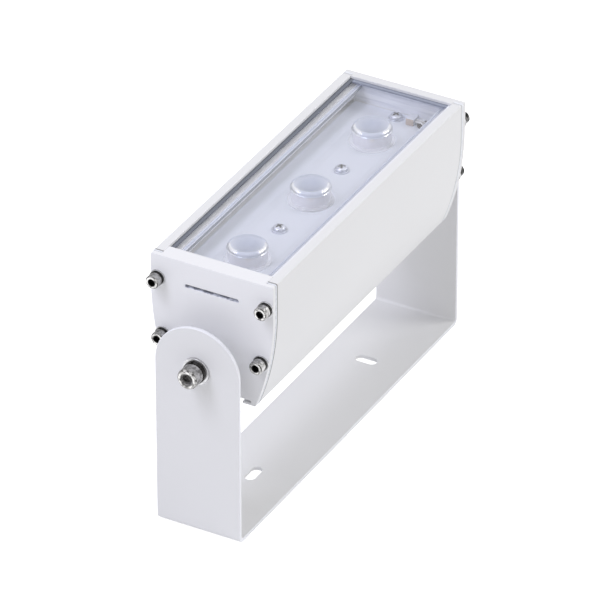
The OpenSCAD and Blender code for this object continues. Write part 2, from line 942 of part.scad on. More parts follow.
module board_washers() {
    color(steel)
        for (x = board_screw_places)
            translate([x, 0, board_top_z])
                ring(board_washer_d, board_screw_d + 2 * fit_gap, board_washer_t);
}

// Two-way connector on the board, with its lead holes towards the grommet
module board_connector() {
    color("white")
        translate([board_end_screw_x, -plug_offset, board_top_z])
            difference() {
                translate([-plug_l / 2, -plug_w / 2, 0]) cube([plug_l, plug_w, plug_h]);
                for (s = SIDES)
                    translate([s * lead_pair_gap, -plug_w / 2 - overrun, plug_h / 2])
                        rotate([-90, 0, 0]) cylinder(d = lead_d + 2 * fit_gap, h = plug_w / 2 + overrun);
            }
}

// Grommet that lines the lead hole through the web and the board
module lead_grommet() {
    color(dark_rubber)
        translate([board_end_screw_x, -grommet_offset, 0])
            difference() {
                union() {
                    translate([0, 0, web_low_z])
                        cylinder(d = grommet_d, h = board_top_z - web_low_z);
                    translate([0, 0, board_top_z])
                        cylinder(d = grommet_flange_d, h = grommet_flange_t);
                }
                translate([0, 0, web_low_z - overrun])
                    cylinder(d = grommet_bore_d, h = board_top_z - web_low_z + 2 * grommet_flange_t + 2 * overrun);
            }
}

// A point on a smooth curve through b and c, with a and d as their outer neighbours
function curve_point(a, b, c, d, t) =
    (2 * b + (c - a) * t + (2 * a - 5 * b + 4 * c - d) * t * t
        + (3 * b - a - 3 * c + d) * t * t * t) / 2;

// A smooth route through hand-chosen points, with a number of steps between each pair
function smooth_route(p, steps) = [
    for (i = [0 : len(p) - 2], k = [0 : steps - 1])
        curve_point(p[max(i - 1, 0)], p[i], p[i + 1], p[min(i + 2, len(p) - 1)], k / steps),
    p[len(p) - 1]
];

function unit(v) = v / norm(v);

// The direction of a route at each of its points
function directions(p) = [
    for (i = [0 : len(p) - 1]) unit(p[min(i + 1, len(p) - 1)] - p[max(i - 1, 0)])
];

// A sideways vector carried along a route without twist
function carried(t, i, n) =
    i >= len(t)
        ? []
        : let (m = unit(n - (n * t[i]) * t[i])) concat([m], carried(t, i + 1, m));

// A round lead along a route
module lead(route, d) {
    steps = 4;
    sides = 8;
    p = smooth_route(route, steps);
    t = directions(p);
    n = carried(t, 0, [0, 0, 1]);
    rings = len(p);
    points = [
        for (i = [0 : rings - 1], k = [0 : sides - 1])
            p[i] + d / 2 * (cos(k * 360 / sides) * n[i] + sin(k * 360 / sides) * cross(t[i], n[i]))
    ];
    walls = [
        for (i = [0 : rings - 2], k = [0 : sides - 1])
            let (a = i * sides + k, b = i * sides + (k + 1) % sides)
                each [[a, a + sides, b], [b, a + sides, b + sides]]
    ];
    start = [for (k = [0 : sides - 1]) k];
    finish = [for (k = [0 : sides - 1]) rings * sides - 1 - k];
    polyhedron(points = points, faces = concat(walls, [start, finish]));
}

// Leads from the driver, beside the terminal block and up through the grommet to the connector
module led_leads() {
    start_x = driver_end_x + end_gap;
    side_y = block_w / 2 + 3 * lead_d;
    low_z = web_low_z - driver_h / 2;
    colours = ["firebrick", "black"];
    for (i = [0, 1]) {
        x = board_end_screw_x + SIDES[i] * lead_pair_gap;
        y = -side_y + SIDES[i] * lead_d;
        rising_y = -grommet_offset + SIDES[i] * lead_d;
        end_y = -plug_offset - plug_w / 2 + end_gap;
        color(colours[i])
            lead([
                [start_x, y, low_z - ear_t],
                [start_x + ear_l, y, low_z - ear_t],
                [block_x, y, low_z - ear_t],
                [block_x + block_l, y, low_z],
                [(block_x + block_l + x) / 2, (y + rising_y) / 2, low_z],
                [x, rising_y, web_low_z - 4 * lead_d],
                [x, -grommet_offset, web_low_z - lead_d],
                [x, -grommet_offset, web_z],
                [x, -grommet_offset, board_top_z],
                [x, -grommet_offset + lead_d, board_top_z + plug_h / 2],
                [x, end_y - lead_d, board_top_z + plug_h / 2],
                [x, end_y, board_top_z + plug_h / 2]
            ], lead_d);
    }
}

// Open-bottomed driver case with a fixing ear at each end, hung under the web
module driver_case() {
    color(black_plastic)
        translate([driver_x, 0, web_low_z])
            difference() {
                union() {
                    translate([-driver_l / 2, -driver_w / 2, -driver_h])
                        cube([driver_l, driver_w, driver_h]);
                    translate([-driver_l / 2 - ear_l, -driver_w / 2, -ear_t])
                        cube([driver_l + 2 * ear_l, driver_w, ear_t]);
                }
                translate([driver_wall - driver_l / 2, driver_wall - driver_w / 2, -driver_h - overrun])
                    cube([
                        driver_l - 2 * driver_wall, driver_w - 2 * driver_wall,
                        driver_h - driver_wall + overrun
                    ]);
                for (sx = ENDS, sy = SIDES)
                    translate([sx * ear_screw_x, sy * ear_screw_spacing / 2, -ear_t - overrun])
                        cylinder(d = inner_screw_d + 2 * screw_gap, h = ear_t + 2 * overrun);
            }
}

// Resin block that fills the driver case
module driver_potting() {
    color("dimgrey")
        translate([
            driver_x - driver_l / 2 + driver_wall, driver_wall - driver_w / 2,
            web_low_z - driver_h + driver_wall
        ])
            cube([
                driver_l - 2 * driver_wall, driver_w - 2 * driver_wall,
                driver_h - 2 * driver_wall
            ]);
}

// A screw under the web with its head at a depth below it
module web_screw(x, y, depth, d, head_d, head_h, grip) {
    translate([x, y, web_low_z - depth])
        rotate([180, 0, 0]) pan_screw(d, head_d, head_h, depth + grip);
}

module driver_screws() {
    color(steel)
        for (sx = ENDS, sy = SIDES)
            web_screw(driver_x + sx * ear_screw_x, sy * ear_screw_spacing / 2, ear_t,
                inner_screw_d, inner_head_d, inner_head_h, inner_screw_grip);
}

// Three-way terminal block with lead holes through it and a well for each clamp screw
module terminal_block() {
    color("ivory")
        difference() {
            translate([block_x - block_l / 2, -block_w / 2, block_z]) cube([block_l, block_w, block_h]);
            for (pole = [-1, 0, 1]) {
                translate([block_x - block_l / 2 - overrun, pole * pole_pitch, pole_z])
                    rotate([0, 90, 0]) cylinder(d = block_bore_d, h = block_l + 2 * overrun);
                for (sx = ENDS)
                    translate([block_x + sx * block_l / 4, pole * pole_pitch, block_z - overrun])
                        cylinder(d = clamp_d + 2 * fit_gap, h = clamp_well + clamp_l + overrun);
            }
            for (sy = SIDES)
                translate([block_x, sy * pole_pitch / 2, block_z - overrun])
                    cylinder(d = block_screw_d + 2 * screw_gap, h = block_h + 2 * overrun);
        }
}

// Clamp screws of the terminal block, in their wells
module terminal_clamp_screws() {
    bite = pole_z - block_z - clamp_well - lead_d / 2 - fit_gap;
    color(brass)
        for (pole = [-1, 0, 1], sx = ENDS)
            translate([block_x + sx * block_l / 4, pole * pole_pitch, block_z + clamp_well])
                difference() {
                    cylinder(d = clamp_d, h = min(clamp_l, bite));
                    translate([-clamp_d, -clamp_d / 8, -clamp_d])
                        cube([2 * clamp_d, clamp_d / 4, clamp_d + clamp_d / 4]);
                }
}

module terminal_fixing_screws() {
    color(steel)
        for (sy = SIDES)
            web_screw(block_x, sy * pole_pitch / 2, block_h, block_screw_d,
                block_screw_d + 2 * screw_gap + lead_d, block_screw_d / 2, inner_screw_grip);
}

// Live and neutral leads from the driver to the terminal block
module supply_leads() {
    start_x = driver_end_x + end_gap;
    end_x = block_x - block_l / 8;
    colours = ["saddlebrown", "royalblue"];
    for (i = [0, 1]) {
        y = SIDES[i] * pole_pitch;
        low = pole_z - ear_t;
        color(colours[i])
            lead([
                [start_x, y, low], [start_x + ear_l / 2, y, low],
                [start_x + ear_l, y, low - lead_d],
                [block_x - block_l / 2 - lead_d, y, pole_z],
                [end_x, y, pole_z]
            ], lead_d);
    }
}

// Earth screw under the web, through the tag
module earth_screw() {
    color(steel)
        web_screw(earth_x, pole_pitch, tag_t, inner_screw_d, inner_head_d, inner_head_h,
            inner_screw_grip);
}

// Ring tag with a tail towards the terminal block
module earth_tag() {
    color(brass)
        translate([earth_x, pole_pitch, web_low_z - tag_t])
            difference() {
                union() {
                    cylinder(d = tag_d, h = tag_t);
                    translate([-tag_tail_l, -tag_tail_w / 2, 0]) cube([tag_tail_l, tag_tail_w, tag_t]);
                }
                translate([0, 0, -overrun])
                    cylinder(d = inner_screw_d + 2 * fit_gap, h = tag_t + 2 * overrun);
            }
}

// Earth lead from the terminal block to the underside of the tag's tail
module earth_lead() {
    start_x = block_x + block_l / 8;
    tail_x = earth_x - tag_tail_l + lead_d / 2 + fit_gap;
    color("yellowgreen")
        lead([
            [start_x, pole_pitch, pole_z],
            [block_x + block_l / 2, pole_pitch, pole_z],
            [block_x + block_l / 2 + lead_d, pole_pitch, pole_z - lead_d / 2],
            [tail_x - lead_d / 2, pole_pitch, pole_z + lead_d],
            [tail_x, pole_pitch, web_low_z - tag_t - lead_d],
            [tail_x, pole_pitch, web_low_z - tag_t - fit_gap]
        ], lead_d);
}

// Gland body: thread through the floor, hexagon and clamping neck, with a bore and an insert seat
module gland_body() {
    thread_h = face_seal_t + wall + lock_nut_t + gland_tail;
    color(black_plastic)
        translate([gland_x, 0, 0])
            difference() {
                union() {
                    translate([0, 0, gland_hex_z])
                        cylinder(d = gland_af / cos(30), h = gland_hex_h, $fn = hex_fn);
                    translate([0, 0, gland_hex_z + gland_hex_h]) cylinder(d = gland_d, h = thread_h);
                    translate([0, 0, gland_neck_z]) cylinder(d = gland_neck_d, h = gland_neck_h);
                }
                translate([0, 0, gland_neck_z - overrun])
                    cylinder(d = insert_d + 2 * run_gap, h = gland_neck_h + overrun);
                translate([0, 0, gland_neck_z])
                    cylinder(d = gland_mouth_d, h = gland_neck_h + gland_hex_h + thread_h + overrun);
            }
}

// Face seal between the gland's hexagon and the floor
module gland_face_seal() {
    color(dark_rubber)
        translate([gland_x, 0, floor_z - face_seal_t])
            ring(gland_af, gland_d + 2 * run_gap, face_seal_t);
}

// Rubber insert that grips the cable
module gland_insert() {
    color(dark_rubber)
        translate([gland_x, 0, gland_insert_z]) ring(insert_d, cable_d, gland_neck_h);
}

// Dome nut over the clamping neck
module gland_dome_nut() {
    bore = gland_neck_d + 2 * run_gap;
    color(black_plastic)
        translate([gland_x, 0, gland_mouth_z])
            difference() {
                union() {
                    translate([0, 0, gland_dome_h])
                        cylinder(d = gland_af / cos(30), h = gland_neck_h - fit_gap, $fn = hex_fn);
                    rotate_extrude()
                        polygon([
                            [0, 0], [gland_mouth_d / 2 + gland_dome_h / 4, 0],
                            [gland_af / 2 - gland_dome_h / 8, gland_dome_h * 3 / 4],
                            [gland_af / 2, gland_dome_h], [0, gland_dome_h]
                        ]);
                }
                translate([0, 0, gland_dome_h]) cylinder(d = bore, h = gland_neck_h + overrun);
                translate([0, 0, -overrun])
                    cylinder(d = gland_mouth_d, h = gland_dome_h + 2 * overrun);
            }
}

// Lock nut inside the housing
module gland_lock_nut() {
    color(black_plastic)
        translate([gland_x, 0, floor_top_z]) hex_ring(gland_af, gland_d + 2 * run_gap, lock_nut_t);
}

u_bracket();
pivot_bushes();
housing();
near_end_cap();
far_end_cap();
near_seal_plate();
far_seal_plate();
near_cap_gasket();
far_cap_gasket();
cover_glass();
glass_seal();
near_cap_screws();
near_cap_spring_washers();
near_cap_washers();
far_cap_screws();
far_cap_spring_washers();
far_cap_washers();
near_pivot_bolt();
far_pivot_bolt();
pivot_spring_washers();
pivot_washers();
pivot_spacers();
pivot_nuts();
led_board();
thermal_pad();
led_chips();
lenses();
lens_holders();
board_screws();
board_washers();
board_connector();
lead_grommet();
led_leads();
driver_case();
driver_potting();
driver_screws();
terminal_block();
terminal_clamp_screws();
terminal_fixing_screws();
supply_leads();
earth_screw();
earth_tag();
earth_lead();
gland_body();
gland_face_seal();
gland_insert();
gland_dome_nut();
gland_lock_nut();
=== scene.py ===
"""Looks of an outdoor wall washer light: its finishes, its fine parts, the floor, the lamps and the camera.

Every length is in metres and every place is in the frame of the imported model. X runs along the lamp,
Y across it and Z up, and the origin is the middle of the underside of the bracket's base.
"""

import json
import logging
import math
from collections.abc import Callable, Iterable, Sequence
from dataclasses import dataclass, field
from enum import Enum

import bmesh
import bpy
from mathutils import Matrix, Vector


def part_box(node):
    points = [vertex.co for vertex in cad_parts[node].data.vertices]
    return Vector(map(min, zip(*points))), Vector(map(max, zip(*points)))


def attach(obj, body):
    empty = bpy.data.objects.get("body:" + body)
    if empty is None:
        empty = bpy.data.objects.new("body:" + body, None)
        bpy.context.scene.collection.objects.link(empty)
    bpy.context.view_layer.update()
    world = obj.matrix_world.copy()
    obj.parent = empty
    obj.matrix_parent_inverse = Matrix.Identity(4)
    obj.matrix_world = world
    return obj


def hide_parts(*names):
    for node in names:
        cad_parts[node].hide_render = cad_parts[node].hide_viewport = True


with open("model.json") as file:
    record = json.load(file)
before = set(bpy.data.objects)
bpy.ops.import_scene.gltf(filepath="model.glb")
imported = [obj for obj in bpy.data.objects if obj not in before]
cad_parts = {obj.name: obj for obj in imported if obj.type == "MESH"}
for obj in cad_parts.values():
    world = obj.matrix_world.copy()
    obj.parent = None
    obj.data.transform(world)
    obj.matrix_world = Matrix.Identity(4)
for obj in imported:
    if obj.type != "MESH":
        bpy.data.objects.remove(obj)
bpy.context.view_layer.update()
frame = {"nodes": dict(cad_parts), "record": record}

MM = 0.001
Colour = tuple[float, float, float, float]
Ring = list[Vector]
WHITE: Colour = (1.0, 1.0, 1.0, 1.0)
BLACK: Colour = (0.0, 0.0, 0.0, 1.0)
# The rays that carry light on to a surface.
LIGHT_RAYS = ("Is Shadow Ray", "Is Diffuse Ray")
# The rays that the camera sees by, also in a mirror or through glass.
SIGHT_RAYS = ("Is Camera Ray", "Is Glossy Ray", "Is Transmission Ray")
log = logging.getLogger("wall_washer")


class Body(Enum):
    """The two bodies that the pieces ride on."""

    BRACKET = "bracket"
    LAMP = "lamp"


class End(Enum):
    """The two ends of the lamp, as the sign of X."""

    NEAR = -1
    FAR = 1

    @property
    def word(self) -> str:
        """The end's name as the model's nodes spell it."""
        return self.name.lower()


def levels(red: float, green: float, blue: float) -> Colour:
    """Turns a colour as a screen shows it, 0 to 255, into the light that it stands for.

    Args:
        red: The red level.
        green: The green level.
        blue: The blue level.

    Returns:
        The linear colour with full alpha.
    """
    shares = [level / 255 for level in (red, green, blue)]
    light = [s / 12.92 if s <= 0.04045 else ((s + 0.055) / 1.055) ** 2.4 for s in shares]
    return (light[0], light[1], light[2], 1.0)


def dimmed(colour: Colour, share: float) -> Colour:
    """Takes light out of a colour.

    Args:
        colour: The colour.
        share: The share of its light that stays.

    Returns:
        The darker colour with the same alpha.
    """
    red, green, blue, alpha = colour
    return (share * red, share * green, share * blue, alpha)


@dataclass(frozen=True)
class Wire:
    """An output socket that takes part in Python expressions.

    Attributes:
        graph: The nodes that the socket belongs to.
        socket: The output socket.
    """

    graph: "Graph"
    socket: bpy.types.NodeSocket

    def _math(self, operation: str, *terms: "Wire | float") -> "Wire":
        """Adds one Math node over the terms and returns its result."""
        return self.graph.node("ShaderNodeMath", {"operation": operation}, dict(enumerate(terms)))

    def __add__(self, other: "Wire | float") -> "Wire":
        """Adds two values."""
        return self._math("ADD", self, other)

    __radd__ = __add__

    def __sub__(self, other: "Wire | float") -> "Wire":
        """Takes other away."""
        return self._math("SUBTRACT", self, other)

    def __rsub__(self, other: "Wire | float") -> "Wire":
        """Takes this value away from other."""
        return self._math("SUBTRACT", other, self)

    def __mul__(self, other: "Wire | float") -> "Wire":
        """Multiplies two values."""
        return self._math("MULTIPLY", self, other)

    __rmul__ = __mul__

    def __abs__(self) -> "Wire":
        """Takes the sign away."""
        return self._math("ABSOLUTE", self)

    def __gt__(self, other: "Wire | float") -> "Wire":
        """1 where this value is the larger one, else 0."""
        return self._math("GREATER_THAN", self, other)

    def __lt__(self, other: "Wire | float") -> "Wire":
        """1 where this value is the smaller one, else 0."""
        return self._math("LESS_THAN", self, other)

    def either(self, other: "Wire | float") -> "Wire":
        """The larger of two values, which joins two masks."""
        return self._math("MAXIMUM", self, other)

    def cosine(self) -> "Wire":
        """The cosine of this angle in radians."""
        return self._math("COSINE", self)

    def angle(self, other: "Wire | float") -> "Wire":
        """The angle in radians whose sine goes with this value and whose cosine goes with other."""
        return self._math("ARCTAN2", self, other)

    def off_step(self, step: float) -> "Wire":
        """How far this value lies from the nearest whole multiple of step."""
        return self - self._math("SNAP", self + step / 2, step)

    def between(self, low: float, high: float) -> "Wire":
        """A smooth step from 0 at low to 1 at high."""
        return self.graph.node(
            "ShaderNodeMapRange",
            {"interpolation_type": "SMOOTHSTEP"},
            {"Value": self, "From Min": low, "From Max": high},
        )

    def other(self, name: str) -> "Wire":
        """Another output of the same node."""
        return Wire(self.graph, self.socket.node.outputs[name])


class Graph:
    """The nodes of one material or of the world."""

    def __init__(self, tree: bpy.types.NodeTree) -> None:
        """Empties the tree that the nodes go into."""
        self.tree = tree
        tree.nodes.clear()

    def node(
        self,
        kind: str,
        settings: dict[str, object] | None = None,
        values: dict[str | int, object] | None = None,
        output: int | str = 0,
    ) -> Wire | None:
        """Adds one node.

        Args:
            kind: The node's type, such as ShaderNodeTexNoise.
            settings: What to set on the node first.
            values: A number, a colour or a wire for each input socket, by name or place.
            output: The output to return, by name or place.

        Returns:
            That output, or None on a node that has none.
        """
        made = self.tree.nodes.new(kind)
        for key, setting in (settings or {}).items():
            setattr(made, key, setting)
        for key, value in (values or {}).items():
            if isinstance(value, Wire):
                self.tree.links.new(value.socket, made.inputs[key])
            else:
                made.inputs[key].default_value = value
        return Wire(self, made.outputs[output]) if made.outputs else None

    def place(self) -> Wire:
        """The point of the surface in the object's own frame, which is the model's frame at rest."""
        return self.node("ShaderNodeTexCoord", output="Object")

    def axes(self) -> tuple[Wire, Wire, Wire]:
        """The three coordinates of the point of the surface."""
        split = self.node("ShaderNodeSeparateXYZ", None, {"Vector": self.place()}, "X")
        return split, split.other("Y"), split.other("Z")

    def nearest(self, pitch: float) -> tuple[Wire, Wire, Wire]:
        """Where the point lies from the nearest of the lenses' axes, which stand in a row along X.

        Args:
            pitch: The distance between the axes.

        Returns:
            Its X and Y from that axis, and the square of its distance from it.
        """
        along, across, _ = self.axes()
        offset = along.off_step(pitch)
        return offset, across, offset * offset + across * across

    def noise(self, size: float, detail: float = 2.0, stretch: Sequence[float] = (1, 1, 1)) -> Wire:
        """Cloudy noise in space.

        Args:
            size: The rough size of one cloud.
            detail: How many finer layers lie on the first one.
            stretch: How many times longer a cloud is along each axis.

        Returns:
            The noise, about 0.5 on average.
        """
        shrink = tuple(1 / s for s in stretch)
        place = self.node("ShaderNodeVectorMath", {"operation": "MULTIPLY"}, {0: self.place(), 1: shrink})
        return self.node("ShaderNodeTexNoise", None, {"Vector": place, "Scale": 1 / size, "Detail": detail})

    def blend(self, share: Wire | float, first: Wire | Colour, second: Wire | Colour) -> Wire:
        """Mixes two colours by the share of the second one."""
        return self.node("ShaderNodeMix", {"data_type": "RGBA"}, {0: share, 6: first, 7: second}, 2)

    def bump(self, height: Wire, depth: float, strength: float) -> Wire:
        """A normal that follows height, where 1 stands for depth in metres."""
        return self.node("ShaderNodeBump", None, {"Height": height, "Distance": depth, "Strength": strength})

    def surface(self, values: dict[str | int, object]) -> Wire:
        """The general surface shader with these values."""
        return self.node("ShaderNodeBsdfPrincipled", None, values)

    def mix(self, share: Wire | float, first: Wire, second: Wire) -> Wire:
        """Mixes two shaders by the share of the second one."""
        return self.node("ShaderNodeMixShader", None, {0: share, 1: first, 2: second})

    def rays(self, *kinds: str) -> Wire:
        """1 for rays of any of these kinds, such as Is Camera Ray, else 0."""
        path = self.node("ShaderNodeLightPath", output=kinds[0])
        mask = path
        for kind in kinds[1:]:
            mask = mask.either(path.other(kind))
        return mask

    def show(self, shader: Wire, kind: str = "ShaderNodeOutputMaterial") -> None:
        """Sends a shader to the output node."""
        self.node(kind, None, {"Surface": shader})


@dataclass(frozen=True)
class Finish:
    """What every finish has: a name, and a material that is made once.

    Attributes:
        name: The material's name.
    """

    name: str

    def material(self) -> bpy.types.Material:
        """The finish's material, made on the first call."""
        made = bpy.data.materials.get(self.name)
        if made is None:
            made = bpy.data.materials.new(self.name)
            made.use_nodes = True
            graph = Graph(made.node_tree)
            graph.show(self.shader(graph))
        return made

    def shader(self, graph: Graph) -> Wire:
        """Builds the nodes of the finish and returns its shader."""
        raise NotImplementedError


@dataclass(frozen=True)
class PowderCoat(Finish):
    """Satin powder coating with a fine grain and a faint orange peel.

    Attributes:
        colour: The coat's colour.
        grain: The size of its fine grain.
        peel: The size of its orange peel.
        patch: The size of its greyer patches, in orange peels.
        patch_share: The share of the light that the greyest patches keep.
        relief: The height of the grain and the peel.
    """

    colour: Colour = levels(238, 238, 239)
    grain: float = 0.35 * MM
    peel: float = 2.4 * MM
    patch: float = 40
    patch_share: float = 0.955
    relief: float = 0.03 * MM

    def paint(self, graph: Graph, plain: Wire) -> Wire:
        """The colour at the point of the surface, given the plain coat's colour there."""
        return plain

    def coat(self, graph: Graph) -> Wire:
        """Builds the coat alone."""
        grain = graph.noise(self.grain, 3.0)
        peel = graph.noise(self.peel, 1.0)
        cloud = graph.noise(self.patch * self.peel)
        greyer = dimmed(self.colour, self.patch_share)
        return graph.surface(
            {
                "Base Color": self.paint(graph, graph.blend(cloud * 0.5 + grain * 0.4, self.colour, greyer)),
                "Roughness": 0.36 + 0.14 * grain + 0.05 * cloud,
                "Normal": graph.bump(grain * 0.3 + peel * 0.7, self.relief, 0.6),
            }
        )

    def shader(self, graph: Graph) -> Wire:
        """Builds the finish."""
        return self.coat(graph)


@dataclass(frozen=True, kw_only=True)
class SheetCoat(PowderCoat):
    """Powder coat on bent sheet, with a painted highlight that makes it whiter along the cut edges.

    Attributes:
        edge_r: The distance of the cut edges from the middle plane, and from the pivot above it.
        pivot_z: The height of the pivot.
        edge_colour: The colour of the painted highlight on the cut edges.
    """

    edge_r: float
    pivot_z: float
    edge_colour: Colour = levels(249, 250, 255)

    def paint(self, graph: Graph, plain: Wire) -> Wire:
        """The plain colour, or the painted highlight on the cut edges."""
        _, across, height = graph.axes()
        above = (height - self.pivot_z).either(0.0)
        # Painted highlight: the cut edges are painted whiter than the coat.
        cut = across * across + above * above > self.edge_r**2
        return graph.blend(cut, plain, self.edge_colour)


@dataclass(frozen=True, kw_only=True)
class SlottedCoat(PowderCoat):
    """Powder coat that didn't take inside a narrow slot, where blotchy bare metal shows.

    Attributes:
        slot_half: Half of the slot's length across the lamp.
        slot_low: The height of the slot's lower face.
        slot_high: The height of its upper face.
        face_x: The distance of the painted face from the middle of the lamp.
        blotch: The size of the blotches.
        dark: The colour of the darkest metal.
        bright: The colour of the brightest.
    """

    slot_half: float
    slot_low: float
    slot_high: float
    face_x: float
    blotch: float = 1.9 * MM
    dark: Colour = levels(168, 170, 180)
    bright: Colour = levels(244, 246, 253)

    def paint(self, graph: Graph, plain: Wire) -> Wire:
        """The plain colour, or that of the metal in the slot."""
        along, across, height = graph.axes()
        inside = (abs(along) < self.face_x) * (abs(across) < self.slot_half)
        inside = inside * (height > self.slot_low) * (height < self.slot_high)
        blotch = graph.noise(self.blotch, 3.0, (1, 1.6, 1)).between(0.38, 0.58)
        return graph.blend(inside, plain, graph.blend(blotch, self.dark, self.bright))


@dataclass(frozen=True, kw_only=True)
class Extrusion(PowderCoat):
    """Powder coat outside and bare drawn metal where the glass sits, with painted light and painted shade
    inside.

    Attributes:
        lip_half: Half of the distance between the inner faces of the two seats.
        lip_low: The height of the underside of the seats.
        seat_low: The lowest height of the bare metal.
        seat_high: Its greatest height.
        seat_half: Half of the width that stays bare.
        seal_half: Half of the distance between the inner edges of the seal's long runs.
        rim_half: Half of the distance between the rims.
        metal: The colour of the bare metal.
        worn: The colour of its streaks.
        lip_colour: The painted shade on the inner faces of the seats.
        clean: The painted light on the rims' inner faces and on the metal and the paint beside the seal.
        clean_w: How far the painted light reaches inwards from the seal.
        streak_w: The width of a streak.
        streak_ratio: How many times longer than wide a streak is.
        margin: How far the colour of an inner face reaches past it.
    """

    lip_half: float
    lip_low: float
    seat_low: float
    seat_high: float
    seat_half: float
    seal_half: float
    rim_half: float
    metal: Colour = levels(240, 244, 254)
    worn: Colour = levels(212, 217, 229)
    lip_colour: Colour = levels(150, 154, 164)
    clean: Colour = levels(255, 255, 255)
    clean_w: float = 2.6 * MM
    streak_w: float = 0.3 * MM
    streak_ratio: float = 600
    margin: float = 0.1 * MM

    def paint(self, graph: Graph, plain: Wire) -> Wire:
        """The plain colour, or painted light on the rims' inner faces."""
        _, across, height = graph.axes()
        # Painted light: the rims' inner faces are painted white against their shade.
        rim_face = (abs(across) < self.rim_half) * (height > self.seat_high)
        return graph.blend(rim_face, plain, self.clean)

    def shader(self, graph: Graph) -> Wire:
        """Builds the coat and the bare metal, with its painted light and painted shade."""
        _, across, height = graph.axes()
        inside = (abs(across) < self.seat_half) * (height > self.seat_low) * (height < self.seat_high)
        # Painted shade: the seats' inner faces are painted dark, as the shadow line beside the board.
        lip = (abs(across) < self.lip_half + self.margin) * (height > self.lip_low)
        # Painted light: the metal beside the seal is painted white where the seal shades it.
        beside = abs(across) > self.seal_half - self.clean_w
        streaks = graph.noise(self.streak_w, 2.0, (self.streak_ratio, 1, 1))
        drawn = graph.blend(streaks * 0.5, self.metal, self.worn)
        light = graph.blend(beside, drawn, graph.blend(streaks * 0.3, self.clean, self.worn))
        bare = graph.surface(
            {
                "Base Color": graph.blend(lip, light, self.lip_colour),
                "Metallic": 0.1 - 0.1 * beside,
                "Roughness": 0.38 + 0.1 * streaks,
                "Normal": graph.bump(streaks, 0.04 * MM, 0.5),
            }
        )
        return graph.mix(inside, self.coat(graph), bare)


@dataclass(frozen=True)
class Metal(Finish):
    """Bare metal with drawn or turned streaks and a mottled film.

    Attributes:
        colour: The metal's colour.
        dull: The colour of the film.
        roughness: How much the metal blurs what it mirrors.
        mottle: How much the film shows, 0 to 1.
        metallic: How much it mirrors as a metal does, 0 to 1.
        streak: The size of the fine streaks.
        film: The size of the film's blotches.
    """

    colour: Colour = levels(196, 197, 198)
    dull: Colour = levels(120, 121, 124)
    roughness: float = 0.25
    mottle: float = 0.35
    metallic: float = 1.0
    streak: float = 0.18 * MM
    film: float = 2.2 * MM

    def shader(self, graph: Graph) -> Wire:
        """Builds the metal."""
        fine = graph.noise(self.streak)
        film = graph.noise(self.film, 4.0).between(0.38, 0.68) * self.mottle
        return graph.surface(
            {
                "Base Color": graph.blend(film + fine * 0.15, self.colour, self.dull),
                "Metallic": self.metallic,
                "Roughness": self.roughness + 0.16 * fine + 0.2 * film,
                "Normal": graph.bump(fine, 0.01 * MM, 0.5),
            }
        )


@dataclass(frozen=True, kw_only=True)
class Plate(Finish):
    """Sheet metal that is bright, apart from the stained face that lies against its cap.

    Attributes:
        face_x: The distance of the stained face from the middle of the lamp.
        colour: The colour of the bright metal.
        brushed: The colour of its streaks.
        stain: The colour of the darkest stains.
        unstained: The colour between the stains.
        blotch: The size of a stain.
        streak: The width of a streak.
        fine: The width of the finest streaks.
    """

    face_x: float
    colour: Colour = levels(248, 250, 255)
    brushed: Colour = levels(205, 209, 220)
    stain: Colour = levels(140, 142, 148)
    unstained: Colour = levels(214, 216, 222)
    blotch: float = 3.5 * MM
    streak: float = 1.1 * MM
    fine: float = 0.5 * MM

    def shader(self, graph: Graph) -> Wire:
        """Builds the sheet."""
        along, _, _ = graph.axes()
        stained = abs(along) > self.face_x
        blotch = graph.noise(self.blotch, 4.0).between(0.42, 0.6)
        fine = graph.noise(self.fine, 2.0, (1, 8, 1))
        streaks = graph.noise(self.streak, 3.0, (1, 26, 1)).between(0.4, 0.66)
        bright = graph.blend(streaks * 0.45 + fine * 0.2, self.colour, self.brushed)
        return graph.surface(
            {
                "Base Color": graph.blend(stained, bright, graph.blend(blotch, self.stain, self.unstained)),
                "Metallic": 0.1 + 0.3 * stained,
                "Roughness": 0.42 + 0.1 * fine,
                "Normal": graph.bump(fine, 0.01 * MM, 0.5),
            }
        )


@dataclass(frozen=True)
class Rubber(Finish):
    """Silicone rubber with a fine bloom.

    Attributes:
        colour: The rubber's colour.
        bloom: The size of the bloom's specks.
        bloom_light: How much light the bloom adds.
    """

    colour: Colour = levels(152, 151, 151)
    bloom: float = 0.6 * MM
    bloom_light: float = 0.03

    def paint(self, graph: Graph, bloom: Wire) -> Wire:
        """The colour at the point of the surface, given the bloom there."""
        lighter = tuple(level + self.bloom_light for level in self.colour[:3]) + (1.0,)
        return graph.blend(bloom, self.colour, lighter)

    def shader(self, graph: Graph) -> Wire:
        """Builds the rubber."""
        bloom = graph.noise(self.bloom, 4.0)
        return graph.surface(
            {
                "Base Color": self.paint(graph, bloom),
                "Roughness": 0.5 + 0.2 * bloom,
                "Normal": graph.bump(bloom, 0.03 * MM, 0.6),
            }
        )


@dataclass(frozen=True, kw_only=True)
class WindowSeal(Rubber):
    """The seal around the glass: painted shade along +Y and at the ends, painted light along -Y.

    Attributes:
        side_y: The distance from the middle from which the long runs begin.
        milky: The painted light on the run along -Y.
        bluish: The blue-grey painted shade at the ends.
    """

    side_y: float
    milky: Colour = levels(247, 248, 253)
    bluish: Colour = levels(158, 163, 178)

    def paint(self, graph: Graph, bloom: Wire) -> Wire:
        """The colour of the run that the point lies on: painted shade at the ends, painted light along -Y."""
        _, across, _ = graph.axes()
        # Painted shade at the ends and painted light along -Y, on one rubber.
        ends = graph.blend(across > self.side_y, self.bluish, self.colour)
        return graph.blend(across < -self.side_y, ends, self.milky)


